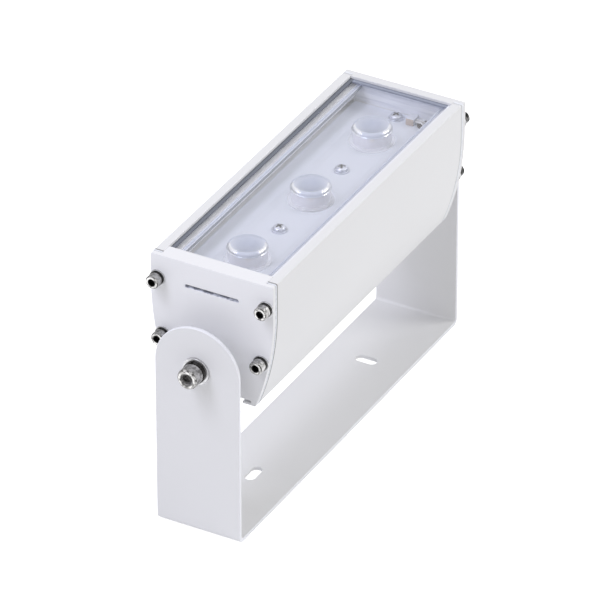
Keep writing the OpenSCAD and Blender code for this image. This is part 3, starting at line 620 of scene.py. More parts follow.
@dataclass(frozen=True)
class Moulding(Finish):
    """Moulded plastic, with a fine spark-eroded skin and faint flow marks.

    Attributes:
        colour: The plastic's colour.
        roughness: How dull its skin is.
        skin: The size of the skin's grain.
        flow: The size of the flow marks.
    """

    colour: Colour = levels(238, 238, 236)
    roughness: float = 0.42
    skin: float = 0.22 * MM
    flow: float = 7 * MM

    def paint(self, graph: Graph, skin: Wire) -> Wire:
        """The colour at the point of the surface, given the skin's grain there."""
        flow = graph.noise(self.flow, 3.0, (1, 1, 3))
        return graph.blend(flow * 0.7 + skin * 0.2, self.colour, dimmed(self.colour, 0.9))

    def shader(self, graph: Graph) -> Wire:
        """Builds the plastic."""
        skin = graph.noise(self.skin)
        return graph.surface(
            {
                "Base Color": self.paint(graph, skin),
                "Roughness": self.roughness + 0.15 * skin,
                "Normal": graph.bump(skin, 0.015 * MM, 0.6),
            }
        )


@dataclass(frozen=True, kw_only=True)
class Header(Moulding):
    """The board connector: a white moulding whose contacts show brown at one end.

    Attributes:
        contact_x: The place along the lamp up to which the contacts reach.
        contact: Their colour.
    """

    contact_x: float
    contact: Colour = levels(196, 180, 168)

    def paint(self, graph: Graph, skin: Wire) -> Wire:
        """The moulding's colour, or that of the contacts."""
        along, _, _ = graph.axes()
        return graph.blend(along < self.contact_x, self.colour, self.contact)


@dataclass(frozen=True)
class Clear(Finish):
    """A clear solid that lets the lamps through to what is behind it.

    Attributes:
        tint: The colour that light takes in it.
        bend: Its index of refraction.
    """

    tint: Colour = levels(251, 251, 253)
    bend: float = 1.5

    def shader(self, graph: Graph) -> Wire:
        """Builds the clear solid."""
        values = {"Base Color": self.tint, "Roughness": 0.0, "IOR": self.bend, "Transmission Weight": 1.0}
        open_way = graph.node("ShaderNodeBsdfTransparent", None, {"Color": self.tint})
        return graph.mix(graph.rays(*LIGHT_RAYS), graph.surface(values), open_way)


@dataclass(frozen=True)
class Acrylic(Finish):
    """Clear moulded acrylic with some haze, whose rounded edges mirror the lamps.

    Attributes:
        haze: The colour of the light that it scatters.
        cloudy: How much it scatters, 0 to 1.
        bend: Its index of refraction.
        swirl: The size of the clouds in its haze.
        wave: The size of the ripples in its skin.
    """

    haze: Colour = levels(244, 245, 252)
    cloudy: float = 0.35
    bend: float = 1.49
    swirl: float = 6 * MM
    wave: float = 1.2 * MM

    def scatter(self, graph: Graph) -> Wire | Colour:
        """What it scatters at the point of the surface."""
        return self.haze

    def shader(self, graph: Graph) -> Wire:
        """Builds the acrylic, of which only the front faces scatter and mirror."""
        ripple = graph.bump(graph.noise(self.wave), 0.02 * MM, 0.5)
        front = 1 - graph.node("ShaderNodeNewGeometry", output="Backfacing")
        open_way = graph.node("ShaderNodeBsdfTransparent", None, {"Color": WHITE})
        gloss = graph.node("ShaderNodeBsdfAnisotropic", None, {"Roughness": 0.08, "Normal": ripple})
        mirror = graph.node("ShaderNodeFresnel", None, {"IOR": self.bend, "Normal": ripple}) * front
        clear = graph.mix(mirror, open_way, gloss)
        body = graph.surface(
            {"Base Color": self.scatter(graph), "Roughness": 0.12, "IOR": self.bend, "Normal": ripple}
        )
        cloud = (graph.noise(self.swirl) * 0.1 + (self.cloudy - 0.05)) * front
        seen = graph.mix(cloud, clear, body)
        return graph.mix(graph.rays(*LIGHT_RAYS), seen, open_way)


@dataclass(frozen=True, kw_only=True)
class LensDish(Acrylic):
    """The dished top of each lens, with painted shade in its haze, darkest in the middle and paling towards
    the rim.

    Attributes:
        rim_r: The radius of the dish.
        deep_share: The share of that radius inside which the painted shade is darkest.
        pale: The colour at the rim, where the painted shade is lightest.
        pitch: The distance between the lenses.
    """

    rim_r: float
    deep_share: float = 0.35
    pale: Colour = levels(204, 210, 223)
    pitch: float

    def scatter(self, graph: Graph) -> Wire | Colour:
        """The haze with its painted shade, darkest in the middle of the dish."""
        _, _, reach = graph.nearest(self.pitch)
        # Painted shade: the haze is darkest in the middle of the dish and pales to the rim.
        rim = reach.between((self.deep_share * self.rim_r) ** 2, self.rim_r**2)
        return graph.blend(rim, self.haze, self.pale)


@dataclass(frozen=True, kw_only=True)
class FlutedShoulder(Finish):
    """The rounded shoulder of each lens: hazy, with painted highlights on two fluted stretches and on its
    bead.

    Attributes:
        bead_r: The radius from which the bead at its foot begins.
        bead_share: How bright the bead's painted highlight is, where the fluted highlights are 1.
        flutes: How many flutes it has.
        groove: How much darker the grooves between the flutes are inside the painted highlights.
        turns: The middles of the two painted highlights, in degrees about Z from X.
        inner: The angle on each side of them that is fully highlighted.
        outer: The angle at which the painted highlights end.
        haze: The colour of the hazy part.
        polish: The white of the painted highlights, which are also metallic.
        pitch: The distance between the lenses.
    """

    bead_r: float
    bead_share: float = 0.16
    flutes: int
    groove: float = 0.22
    turns: tuple[float, float] = (143, -85)
    inner: float = 20
    outer: float = 38
    haze: Colour = levels(206, 212, 226)
    polish: Colour = levels(253, 253, 253)
    pitch: float

    def shader(self, graph: Graph) -> Wire:
        """Builds the shoulder with its painted highlights."""
        offset, across, reach = graph.nearest(self.pitch)
        around = across.angle(offset)
        low, high = math.cos(math.radians(self.outer)), math.cos(math.radians(self.inner))
        first, second = ((around - math.radians(turn)).cosine().between(low, high) for turn in self.turns)
        ridges = (around * self.flutes).cosine() * self.groove + (1 - self.groove)
        bead = (reach > self.bead_r**2) * self.bead_share
        # Painted highlights: fixed white, metallic stretches that stand in for reflections of the lamps.
        bright = (first.either(second) * ridges).either(bead)
        return graph.surface(
            {
                "Base Color": graph.blend(bright, self.haze, self.polish),
                "Metallic": bright * 0.95,
                "Roughness": 0.3 - 0.1 * bright,
            }
        )


@dataclass(frozen=True, kw_only=True)
class SolderMask(Finish):
    """White solder mask with the relief of the copper under it.

    Attributes:
        colour: The mask's colour.
        track: The distance of the two long tracks from the middle of the board.
        track_w: The width of each track.
        land_r: The radius of the copper land around each chip.
        slope: The width of the mask's slope at the edge of the copper.
        copper_t: The thickness of the copper.
        speckle: The size of the mask's specks.
        pitch: The distance between the chips.
    """

    colour: Colour = levels(229, 233, 241)
    track: float = 16 * MM
    track_w: float = 5 * MM
    land_r: float = 17 * MM
    slope: float = 0.12 * MM
    copper_t: float = 0.07 * MM
    speckle: float = 0.5 * MM
    pitch: float

    def shader(self, graph: Graph) -> Wire:
        """Builds the mask."""
        _, across, reach = graph.nearest(self.pitch)
        track_half = self.track_w / 2
        tracks = 1 - abs(abs(across) - self.track).between(track_half - self.slope, track_half)
        lands = 1 - reach.between((self.land_r - self.slope) ** 2, self.land_r**2)
        copper = tracks.either(lands)
        speckle = graph.noise(self.speckle, 3.0)
        share = speckle * 0.3 + copper * 0.45
        return graph.surface(
            {
                "Base Color": graph.blend(share, self.colour, dimmed(self.colour, 0.93)),
                "Roughness": 0.38 + 0.1 * speckle,
                "Normal": graph.bump(copper + speckle * 0.1, self.copper_t, 0.8),
            }
        )


@dataclass(frozen=True, kw_only=True)
class Chip(Finish):
    """A white ceramic base with a phosphor layer in its middle.

    Attributes:
        ceramic: The colour of the base.
        phosphor: The colour of the phosphor.
        phosphor_r: The radius of the phosphor.
        grit: The size of the grit in both.
        pitch: The distance between the chips.
    """

    ceramic: Colour = levels(232, 231, 226)
    phosphor: Colour = levels(226, 198, 92)
    phosphor_r: float = 1.35 * MM
    grit: float = 0.15 * MM
    pitch: float

    def shader(self, graph: Graph) -> Wire:
        """Builds the ceramic and the phosphor."""
        _, _, reach = graph.nearest(self.pitch)
        inside = 1 - reach.between((0.9 * self.phosphor_r) ** 2, self.phosphor_r**2)
        grit = graph.noise(self.grit, 3.0)
        return graph.surface(
            {
                "Base Color": graph.blend(inside, self.ceramic, self.phosphor),
                "Roughness": 0.3 + 0.3 * grit,
                "Normal": graph.bump(grit, 0.01 * MM, 0.6),
            }
        )


@dataclass
class Loft:
    """Closed solids skinned over rings of points and gathered into one mesh.

    Attributes:
        points: The points of all rings so far.
        faces: The faces between them.
        zones: The number of each face's finish.
    """

    points: list[Vector] = field(default_factory=list)
    faces: list[tuple[int, ...]] = field(default_factory=list)
    zones: list[int] = field(default_factory=list)

    def add(self, rings: Sequence[Ring], place: Matrix, zones: Sequence[int]) -> None:
        """Skins one solid. A ring of one point closes the skin as a tip.

        Args:
            rings: The rings from one end to the other, alike in count apart from the tips.
            place: Where the solid goes.
            zones: The number of the finish of the skin up to each of the last rings.
        """
        last: list[int] = []
        plain = len(rings) - len(zones)
        for index, ring in enumerate(rings):
            first = len(self.points)
            self.points += [place @ point for point in ring]
            now = list(range(first, first + len(ring)))
            start = len(self.faces)
            if last:
                self._skin(last, now)
            self.zones += [zones[index - plain] if index >= plain else 0] * (len(self.faces) - start)
            last = now

    def _skin(self, low: list[int], high: list[int]) -> None:
        """Joins two rings with faces, as a fan where one of them is a tip."""
        count = max(len(low), len(high))
        for i in range(count):
            j = (i + 1) % count
            if len(low) == 1:
                self.faces.append((low[0], high[j], high[i]))
            elif len(high) == 1:
                self.faces.append((low[i], low[j], high[0]))
            else:
                self.faces.append((low[i], low[j], high[j], high[i]))

    def build(self, name: str, finishes: Sequence[Finish], body: Body, sharp: float) -> bpy.types.Object:
        """Makes the mesh object and lets it ride on a body.

        Args:
            name: The piece's name.
            finishes: What its zones are finished in, by their numbers.
            body: What it moves with.
            sharp: The angle in degrees from which an edge stays sharp.

        Returns:
            The object.
        """
        mesh = bpy.data.meshes.new(name)
        mesh.from_pydata(self.points, [], self.faces)
        work = bmesh.new()
        work.from_mesh(mesh)
        bmesh.ops.recalc_face_normals(work, faces=work.faces)
        work.to_mesh(mesh)
        work.free()
        mesh.shade_smooth()
        mesh.set_sharp_from_angle(angle=math.radians(sharp))
        for finish in finishes:
            mesh.materials.append(finish.material())
        mesh.polygons.foreach_set("material_index", self.zones)
        made = bpy.data.objects.new(name, mesh)
        bpy.context.scene.collection.objects.link(made)
        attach(made, body.value)
        log.info("%s: %d faces", name, len(mesh.polygons))
        return made


def even_turns(count: int) -> list[float]:
    """The directions in radians that divide a full turn evenly."""
    return [2 * math.pi * i / count for i in range(count)]


def steps(count: int) -> list[float]:
    """The shares from 0 to 1 in so many even steps."""
    return [step / count for step in range(count + 1)]


def polar(reaches: Sequence[float], height: float) -> Ring:
    """A level ring about the Z axis, given its radius in each direction."""
    turns = even_turns(len(reaches))
    return [Vector((r * math.cos(a), r * math.sin(a), height)) for r, a in zip(reaches, turns)]


def circle(radius: float, height: float, count: int) -> Ring:
    """A round ring of points about the Z axis."""
    return polar([radius] * count, height)


def tip(height: float) -> Ring:
    """A ring of one point on the Z axis."""
    return [Vector((0, 0, height))]


def shaped(reach: Callable[[float], float], height: Callable[[float], float], count: int) -> Ring:
    """A ring whose radius depends on the direction, and whose height depends on the radius.

    Args:
        reach: The radius for a direction in radians.
        height: The height for a radius.
        count: How many points the ring has.

    Returns:
        The ring.
    """
    ring = []
    for turn in even_turns(count):
        radius = reach(turn)
        ring.append(Vector((radius * math.cos(turn), radius * math.sin(turn), height(radius))))
    return ring


def facing(end: End, x: float, y: float, z: float, turn: float) -> Matrix:
    """Places a piece that is built along +Z so that it points out of one end of the lamp.

    Args:
        end: The end that it points out of.
        x: Its place along the lamp, with its sign.
        y: Its place across the lamp.
        z: Its height.
        turn: Its own turn in degrees.

    Returns:
        The matrix of that place.
    """
    tilt = Matrix.Rotation(end.value * math.pi / 2, 4, "Y")
    return Matrix.Translation((x, y, z)) @ tilt @ Matrix.Rotation(math.radians(turn), 4, "Z")


@dataclass(frozen=True)
class SocketScrew:
    """A cylinder-head screw with a knurled side, a wide chamfer and a hex socket.

    Attributes:
        head_d: The head's diameter.
        head_h: The head's height.
        shank_d: The thread's diameter.
        socket_af: The width across the flats of the socket.
        ridges: How many ridges the knurl has, a multiple of 6.
        sink: The width of the countersink around the socket.
        tooth: The depth of the knurl, as a share of half a ridge's width.
        foot: The rounding under the head, as a share of its height.
        chamfer: The width of the chamfer around its front, as a share of its height.
        bulge: A point of the rounded chamfer, as shares of its width: inwards, and below the front.
        lip: The chamfer of the thread's end, as a share of the head's height.
        sunk: The depth of the countersink, as a share of the head's height.
        floor: The height of the socket's floor, as a share of the head's.
        point: The depth of the drill point in that floor, as a share of half the width across flats.
    """

    head_d: float
    head_h: float
    shank_d: float
    socket_af: float
    ridges: int
    sink: float
    tooth: float = 0.42
    foot: float = 0.06
    chamfer: float = 0.12
    bulge: tuple[float, float] = (0.25, 0.45)
    lip: float = 0.05
    sunk: float = 0.08
    floor: float = 0.4
    point: float = 0.3

    def rings(self, grip: float) -> list[Ring]:
        """The screw's rings from its tip to the bottom of its socket, with z 0 under its head.

        Args:
            grip: The length of the thread.

        Returns:
            The rings.
        """
        count = 2 * self.ridges
        head_r, shank_r, top = self.head_d / 2, self.shank_d / 2, self.head_h
        fine = math.pi * self.head_d / count
        tooth, foot, chamfer, lip = self.tooth * fine, self.foot * top, self.chamfer * top, self.lip * top
        side_r = head_r - tooth
        rings = [tip(-grip), circle(shank_r - lip, -grip, count), circle(shank_r, lip - grip, count)]
        rings += [circle(shank_r, 0, count), circle(head_r - foot, 0, count), circle(side_r, foot, count)]
        rows = round((top - foot - chamfer) / fine)
        for row in range(rows + 1):
            height = foot + (top - foot - chamfer) * row / rows
            rings.append(polar([head_r - tooth * ((i + row) % 2) for i in range(count)], height))
        rings.append(circle(side_r, top - chamfer, count))
        rings.append(circle(side_r - self.bulge[0] * chamfer, top - self.bulge[1] * chamfer, count))
        rings.append(circle(side_r - chamfer, top, count))
        return rings + self._socket(count)

    def _socket(self, count: int) -> list[Ring]:
        """The rings of the socket from the countersink's edge down, with so many points each."""
        flat_r, top = self.socket_af / 2, self.head_h
        corner_r = flat_r / math.cos(math.pi / 6)

        def hexagon(turn: float) -> float:
            """The reach of the socket's flats in a direction."""
            return flat_r / math.cos((turn + math.pi / 6) % (math.pi / 3) - math.pi / 6)

        rings = [circle(corner_r + self.sink, top, count)]
        for height in (top - self.sunk * top, self.floor * top):
            rings.append(shaped(hexagon, lambda _, h=height: h, count))
        rings.append(tip(self.floor * top - self.point * flat_r))
        return rings

    @property
    def zones(self) -> tuple[int, ...]:
        """The finishes of the last rings: knurl 0, recess 1, outer edge 2, front 3."""
        return (2, 2, 3, 1, 1, 1)


@dataclass(frozen=True)
class CrossScrew:
    """A pan-head screw with a cross recess.

    Attributes:
        head_d: The head's diameter.
        head_h: The head's height.
        shank_d: The thread's diameter.
        grip: The length of the thread.
        side: The height of the head's side under its dome, as a share of the head's height.
        fullness: The power of the dome's curve, which is fuller the larger it is.
        foot: The rounding under the head, as a share of its radius and one of its height.
        arm: The length of the recess's arms, as a share of the head's radius.
        arm_angle: Half of the angle that the end of an arm takes up, in degrees.
        surround: The reach of the ring around the recess, where the recess reaches 1.
        bevel: The depth of the recess's bevelled edge, as a share of the head's height.
        taper: The reach of the recess at its foot.
        foot_h: The height of that foot, as a share of the head's.
        bottom: The height of the recess's middle, as a share of the head's.
        shares: The rings of the dome outside the recess, as shares of the head's radius.
        count: How many points a ring has.
    """

    head_d: float
    head_h: float
    shank_d: float
    grip: float
    side: float = 0.35
    fullness: float = 2.4
    foot: tuple[float, float] = (0.04, 0.06)
    arm: float = 0.56
    arm_angle: float = 15
    surround: float = 1.08
    bevel: float = 0.05
    taper: float = 0.55
    foot_h: float = 0.2
    bottom: float = 0.12
    shares: tuple[float, ...] = (1.0, 0.96, 0.9, 0.82, 0.72, 0.64)
    count: int = 96

    def dome(self, radius: float) -> float:
        """The height of the domed head at a radius."""
        share = min(1.0, radius / (self.head_d / 2))
        return self.head_h * (self.side + (1 - self.side) * math.sqrt(max(0.0, 1 - share**self.fullness)))

    def rings(self) -> list[Ring]:
        """The screw's rings from its tip to the bottom of its recess, with z 0 under its head."""
        head_r, shank_r = self.head_d / 2, self.shank_d / 2
        rings = [tip(-self.grip), circle(shank_r, -self.grip, self.count), circle(shank_r, 0, self.count)]
        inwards, up = self.foot
        rings.append(circle((1 - inwards) * head_r, 0, self.count))
        rings.append(circle(head_r, up * self.head_h, self.count))
        rings += [circle(share * head_r, self.dome(share * head_r), self.count) for share in self.shares]
        return rings + self._recess()

    def _recess(self) -> list[Ring]:
        """The rings of the cross recess, from just outside its edge down to its bottom."""
        length = self.arm * self.head_d / 2
        half = length * math.tan(math.radians(self.arm_angle))
        tiny = 1e-9

        def cross(turn: float) -> float:
            """The reach of the recess in a direction, where tiny keeps the divisors above zero."""
            c, s = abs(math.cos(turn)) + tiny, abs(math.sin(turn)) + tiny
            return max(min(length / c, half / s), min(half / c, length / s))

        return [
            shaped(lambda a: self.surround * cross(a), self.dome, self.count),
            shaped(cross, lambda r: self.dome(r) - self.bevel * self.head_h, self.count),
            shaped(lambda a: self.taper * cross(a), lambda _: self.foot_h * self.head_h, self.count),
            tip(self.bottom * self.head_h),
        ]

    @property
    def zones(self) -> tuple[int, ...]:
        """The finishes of the last rings: head 0, recess 1."""
        return (1, 1, 1)


def dress(nodes: Iterable[str], finish: Finish) -> None:
    """Gives nodes of the model a finish.

    Args:
        nodes: The nodes' names.
        finish: What they are finished in.
    """
    for name in nodes:
        node = frame["nodes"][name]
        for slot in node.material_slots:
            slot.material = finish.material()
        log.info("%s: %s", name, finish.name)


# Points of a copy that are closer than WELD are one, and faces that meet flatter than FLAT are one.
WELD = 0.002 * MM
FLAT = math.radians(0.5)
# An edge is rounded from CORNER on, where the faces beside it are ROOM times wider than the rounding.
CORNER = math.radians(32)
ROOM = 2.2
# A rounding has STEPS_ACROSS faces across it, along an arc.
STEPS_ACROSS = 3
ARC = 0.5
# An edge of the rounded copy that bends by more than this is shown as sharp.
SHARP = math.radians(40)


def softened(node: str, name: str, finish: Finish, width: float) -> None:
    """Makes a copy of a node with rounded edges, which stands in for the node.

    Args:
        node: The node's name.
        name: The new piece's name.
        finish: What it is finished in.
        width: The width of the rounding.
    """
    dress([node], finish)
    source = frame["nodes"][node]
    work = bmesh.new()
    work.from_mesh(source.data)
    bmesh.ops.remove_doubles(work, verts=work.verts, dist=WELD)
    bmesh.ops.dissolve_limit(work, angle_limit=FLAT, verts=work.verts, edges=work.edges)
    chosen = [
        edge
        for edge in work.edges
        if edge.calc_face_angle(0.0) > CORNER
        and all(face.calc_area() > ROOM * width * edge.calc_length() for face in edge.link_faces)
    ]
    bmesh.ops.bevel(work, geom=chosen, offset=width, segments=STEPS_ACROSS, profile=ARC, affect="EDGES")
    mesh = bpy.data.meshes.new(name)
    work.to_mesh(mesh)
    work.free()
    mesh.shade_smooth()
    mesh.set_sharp_from_angle(angle=SHARP)
    mesh.materials.append(finish.material())
    made = bpy.data.objects.new(name, mesh)
    bpy.context.scene.collection.objects.link(made)
    flat = made.modifiers.new("flat_faces", "WEIGHTED_NORMAL")
    flat.keep_sharp = True
    flat.weight = 100
    members = frame["record"]["behaviour"]["bodies"]
    body = next(key.value for key in Body if node in members[key.value])
    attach(made, body)
    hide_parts(node)
    log.info("%s: %d faces, %s", name, len(mesh.polygons), finish.name)


BODY_PAINT = PowderCoat("powder_coat_lamp")
STEEL = Metal("stainless_steel", colour=levels(206, 206, 207), dull=levels(138, 138, 139))
PLATED_STEEL = Metal(
    "plated_steel",
    colour=levels(218, 221, 230),
    dull=levels(150, 153, 163),
    roughness=0.34,
    metallic=0.55,
)
SCREW_STEEL = Metal(
    "screw_steel",
    colour=levels(206, 205, 204),
    dull=levels(112, 111, 110),
    roughness=0.3,
    mottle=0.8,
)
FRONT_STEEL = Metal(
    "screw_front_steel",
    colour=levels(222, 221, 218),
    dull=levels(104, 103, 101),
    mottle=0.95,
)
# Painted shade: the screws' chamfers are dark steel with paler mottling.
SHADED_EDGE_STEEL = Metal("screw_edge_steel", colour=levels(58, 57, 56), dull=levels(200, 199, 197), mottle=0.9)
# Painted shade: the far cap's screws are a darker copy of the near cap's.
SHADED_SCREW_STEEL = Metal("oiled_screw_steel", colour=levels(128, 127, 126), dull=levels(34, 34, 34), mottle=0.95)
# Painted shade: the split washers are near black, as the shaded ring under the screw heads.
SHADED_SPRING_STEEL = Metal("spring_steel", colour=levels(64, 63, 62), dull=levels(30, 30, 30), roughness=0.34)
# Painted shade: the cap screws' sockets are near black inside.
SOCKET_SHADE = Metal(
    "cap_screw_socket",
    colour=levels(46, 45, 44),
    dull=levels(14, 14, 14),
    roughness=0.45,
    mottle=0.8,
)
BOLT_SOCKET = Metal(
    "bolt_socket",
    colour=levels(158, 157, 155),
    dull=levels(66, 65, 64),
    roughness=0.35,
    mottle=0.9,
    metallic=0.35,
)
TURNED = Metal("turned_alloy", colour=levels(205, 207, 210), roughness=0.3)
BRASS = Metal("clean_brass", colour=levels(205, 178, 110), dull=levels(160, 130, 70), roughness=0.3)
SILICONE = Rubber("gasket_silicone")
# Painted light: the far cap's gasket is a paler copy, so its groove shows little shade.
LIT_SILICONE = Rubber("pale_gasket_silicone", colour=levels(218, 219, 221))
GROMMET = Rubber("grommet_rubber", colour=levels(70, 66, 66))
PAD = Rubber("thermal_pad_grey", colour=levels(150, 156, 164))
RESIN = Rubber("potting_resin", colour=levels(52, 52, 54))
SHEATH = Moulding("lead_sheath_white", colour=levels(232, 232, 230), roughness=0.35)
WHITE_PLASTIC = Moulding("white_nylon_moulding")
BLACK_PLASTIC = Moulding("black_nylon_moulding", colour=levels(40, 40, 42))
PANE = Clear("window_glass")
LENS_SIDE = Acrylic("lens_side_acrylic", haze=levels(246, 245, 252), cloudy=0.72)
HOLDER_ACRYLIC = Acrylic("holder_acrylic")


@dataclass
class Bracket:
    """The U bracket and the bushes in its arms.

    Attributes:
        edge: The softening of the sheet's cut edges.
    """

    edge: float = 0.6 * MM

    def build(self) -> None:
        """Dresses the bracket's nodes."""
        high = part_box("u_bracket")[1]
        edge_r = high.y - self.edge / 2
        paint = SheetCoat(
            "powder_coat_bracket",
            colour=levels(236, 236, 237),
            peel=3.1 * MM,
            edge_r=edge_r,
            pivot_z=high.z - high.y,
        )
        softened("u_bracket", "bent_sheet_bracket", paint, self.edge)
        dress(["pivot_bushes"], BLACK_PLASTIC)


@dataclass
class LampShell:
    """The housing, its end caps, their plates and gaskets, and the window.

    Attributes:
        edge: The softening of the painted edges.
        fine_edge: The softening of the plates, gaskets and seal.
        rim_t: The thickness of the rims over the window.
        rim_w: Their width.
        board_t: The thickness of the board.
        bare_below: How far the bare metal reaches below the board.
        lip_reach: How far the glass reaches over its seats.
        lip_t: The thickness of the seats.
        seat_over: How far the bare metal reaches past the glass.
        seal_w: The width of the seal.
        seal_margin: How far the colour of a long run of the seal reaches past its inner edge.
        slot_w: The length of the slot across the near cap.
        slot_h: The height of that slot.
        slot_drop: The distance of its middle from the cap's top.
        skin: How deep the paint of a face reaches at most.
    """

    edge: float = 0.4 * MM
    fine_edge: float = 0.1 * MM
    rim_t: float = 2 * MM
    rim_w: float = 6 * MM
    board_t: float = 1.6 * MM
    bare_below: float = 1 * MM
    lip_reach: float = 10.5 * MM
    lip_t: float = 2.6 * MM
    seat_over: float = 0.4 * MM
    seal_w: float = 5.5 * MM
    seal_margin: float = 0.1 * MM
    slot_w: float = 35 * MM
    slot_h: float = 2 * MM
    slot_drop: float = 15.8 * MM
    skin: float = 0.05 * MM

    def build(self) -> None:
        """Dresses the shell's nodes."""
        glass_low, glass_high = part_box("cover_glass")
        board_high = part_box("led_board")[1]
        housing_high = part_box("housing")[1]
        inside = Extrusion(
            "powder_coat_and_bare_seat",
            lip_half=glass_high.y - self.lip_reach,
            lip_low=glass_low.z - self.lip_t,
            seat_low=board_high.z - self.board_t - self.bare_below,
            seat_high=housing_high.z - self.rim_t - self.skin,
            seat_half=glass_high.y + self.seat_over,
            seal_half=glass_high.y - self.seal_w,
            rim_half=housing_high.y - self.rim_w + self.skin,
        )
        softened("housing", "extruded_housing", inside, self.edge)
        cap_low, cap_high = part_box("near_end_cap")
        slot_z = cap_high.z - self.slot_drop
        slotted = SlottedCoat(
            "powder_coat_and_bare_slot",
            # Painted light: the near cap's coat is lighter than the rest of the lamp's, against the shade
            # beside the arm.
            colour=levels(245, 245, 247),
            slot_half=self.slot_w / 2,
            slot_low=slot_z - self.slot_h / 2 - self.skin,
            slot_high=slot_z + self.slot_h / 2 + self.skin,
            face_x=-cap_low.x - self.skin,
        )
        for end, coat in ((End.NEAR, slotted), (End.FAR, BODY_PAINT)):
            softened(f"{end.word}_end_cap", f"painted_{end.word}_cap", coat, self.edge)
        plate_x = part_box("far_seal_plate")[1].x
        plate = Plate("sealing_plate", face_x=plate_x - self.skin)
        for end in End:
            softened(f"{end.word}_seal_plate", f"{end.word}_sheet_plate", plate, self.fine_edge)
            rubber = SILICONE if end is End.NEAR else LIT_SILICONE
            softened(f"{end.word}_cap_gasket", f"{end.word}_cut_gasket", rubber, self.fine_edge)
        seal = WindowSeal(
            "window_seal_silicone",
            # Painted shade: the seal's dark grey along +Y.
            colour=levels(116, 120, 130),
            side_y=glass_high.y - self.seal_w - self.seal_margin,
        )
        softened("glass_seal", "window_frame_seal", seal, self.fine_edge)
        dress(["cover_glass"], PANE)


@dataclass
class Fasteners:
    """The cap screws and the pivot bolts, with their washers.

    Attributes:
        cap: The cap screw.
        bolt: The pivot bolt.
        turns: How far each screw of a cap is turned, in degrees.
        bolt_turn: How far each pivot bolt is turned, in degrees.
        sharp: The angle in degrees from which an edge of a screw stays sharp.
        cap_edge: The softening of the cap screws' washers.
        pivot_edge: The softening of the bolts' washers.
        spacer_edge: The softening of the pivot spacers.
    """

    cap: SocketScrew = SocketScrew(
        head_d=8.5 * MM,
        head_h=5 * MM,
        shank_d=5 * MM,
        socket_af=4 * MM,
        ridges=54,
        sink=0.15 * MM,
    )
    bolt: SocketScrew = SocketScrew(
        head_d=13 * MM,
        head_h=8 * MM,
        shank_d=8 * MM,
        socket_af=6 * MM,
        ridges=84,
        sink=0.7 * MM,
    )
    turns: tuple[float, ...] = (12, 38, 5, 27)
    bolt_turn: float = 20
    sharp: float = 24
    cap_edge: float = 0.12 * MM
    pivot_edge: float = 0.2 * MM
    spacer_edge: float = 0.3 * MM

    def build(self) -> None:
        """Builds the screws and dresses their washers."""
        for end in End:
            self._cap_screws(end)
            self._bolt(end)
            springs, washers = f"{end.word}_cap_spring_washers", f"{end.word}_cap_washers"
            softened(springs, f"{end.word}_split_washers", SHADED_SPRING_STEEL, self.cap_edge)
            softened(washers, f"{end.word}_flat_washers", STEEL, self.cap_edge)
        softened("pivot_spring_washers", "pivot_split_washers", SHADED_SPRING_STEEL, self.pivot_edge)
        softened("pivot_washers", "pivot_flat_washers", STEEL, self.pivot_edge)
        softened("pivot_spacers", "turned_pivot_spacers", TURNED, self.spacer_edge)
        dress(["pivot_nuts"], STEEL)

    def _cap_screws(self, end: End) -> None:
        """Builds the four screws of one cap where the model has them."""
        name = f"{end.word}_cap_screws"
        low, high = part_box(name)
        seat = outermost(end, low, high) - end.value * self.cap.head_h
        rings = self.cap.rings(high.x - low.x - self.cap.head_h)
        loft = Loft()
        for (y, z), turn in zip(loose_centres(name), self.turns):
            loft.add(rings, facing(end, seat, y, z, turn), self.cap.zones)
        # The far cap's screws take the darker copy, with painted shade.
        side = SCREW_STEEL if end is End.NEAR else SHADED_SCREW_STEEL
        finishes = (side, SOCKET_SHADE, SHADED_EDGE_STEEL, FRONT_STEEL)
        made = loft.build(f"{end.word}_knurled_cap_screws", finishes, Body.LAMP, self.sharp)
        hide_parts(name)

    def _bolt(self, end: End) -> None:
        """Builds one pivot bolt where the model has it."""
        name = f"{end.word}_pivot_bolt"
        low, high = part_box(name)
        middle = (low + high) / 2
        seat = outermost(end, low, high) - end.value * self.bolt.head_h
        rings = self.bolt.rings(high.x - low.x - self.bolt.head_h)
        loft = Loft()
        loft.add(rings, facing(end, seat, middle.y, middle.z, self.bolt_turn), self.bolt.zones)
        finishes = (SCREW_STEEL, BOLT_SOCKET, SHADED_EDGE_STEEL, FRONT_STEEL)
        made = loft.build(f"{end.word}_knurled_pivot_bolt", finishes, Body.LAMP, self.sharp)
        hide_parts(name)


def outermost(end: End, low: Vector, high: Vector) -> float:
    """The X of the side of a box that faces out of one end of the lamp."""
    return high.x if end is End.FAR else low.x


def loose_centres(name: str) -> list[tuple[float, float]]:
    """The Y and Z of the middle of each of the four solids of a node, told apart by their quarter.

    Args:
        name: The node's name.

    Returns:
        The four middles: the lower pair first, and -Y before +Y.
    """
    points = [v.co for v in frame["nodes"][name].data.vertices]
    middle_z = (max(p.z for p in points) + min(p.z for p in points)) / 2
    centres = []
    for upper in (False, True):
        for positive in (False, True):
            own = [p for p in points if (p.z > middle_z) == upper and (p.y > 0) == positive]
            y = (max(p.y for p in own) + min(p.y for p in own)) / 2
            z = (max(p.z for p in own) + min(p.z for p in own)) / 2
            centres.append((y, z))
    return centres


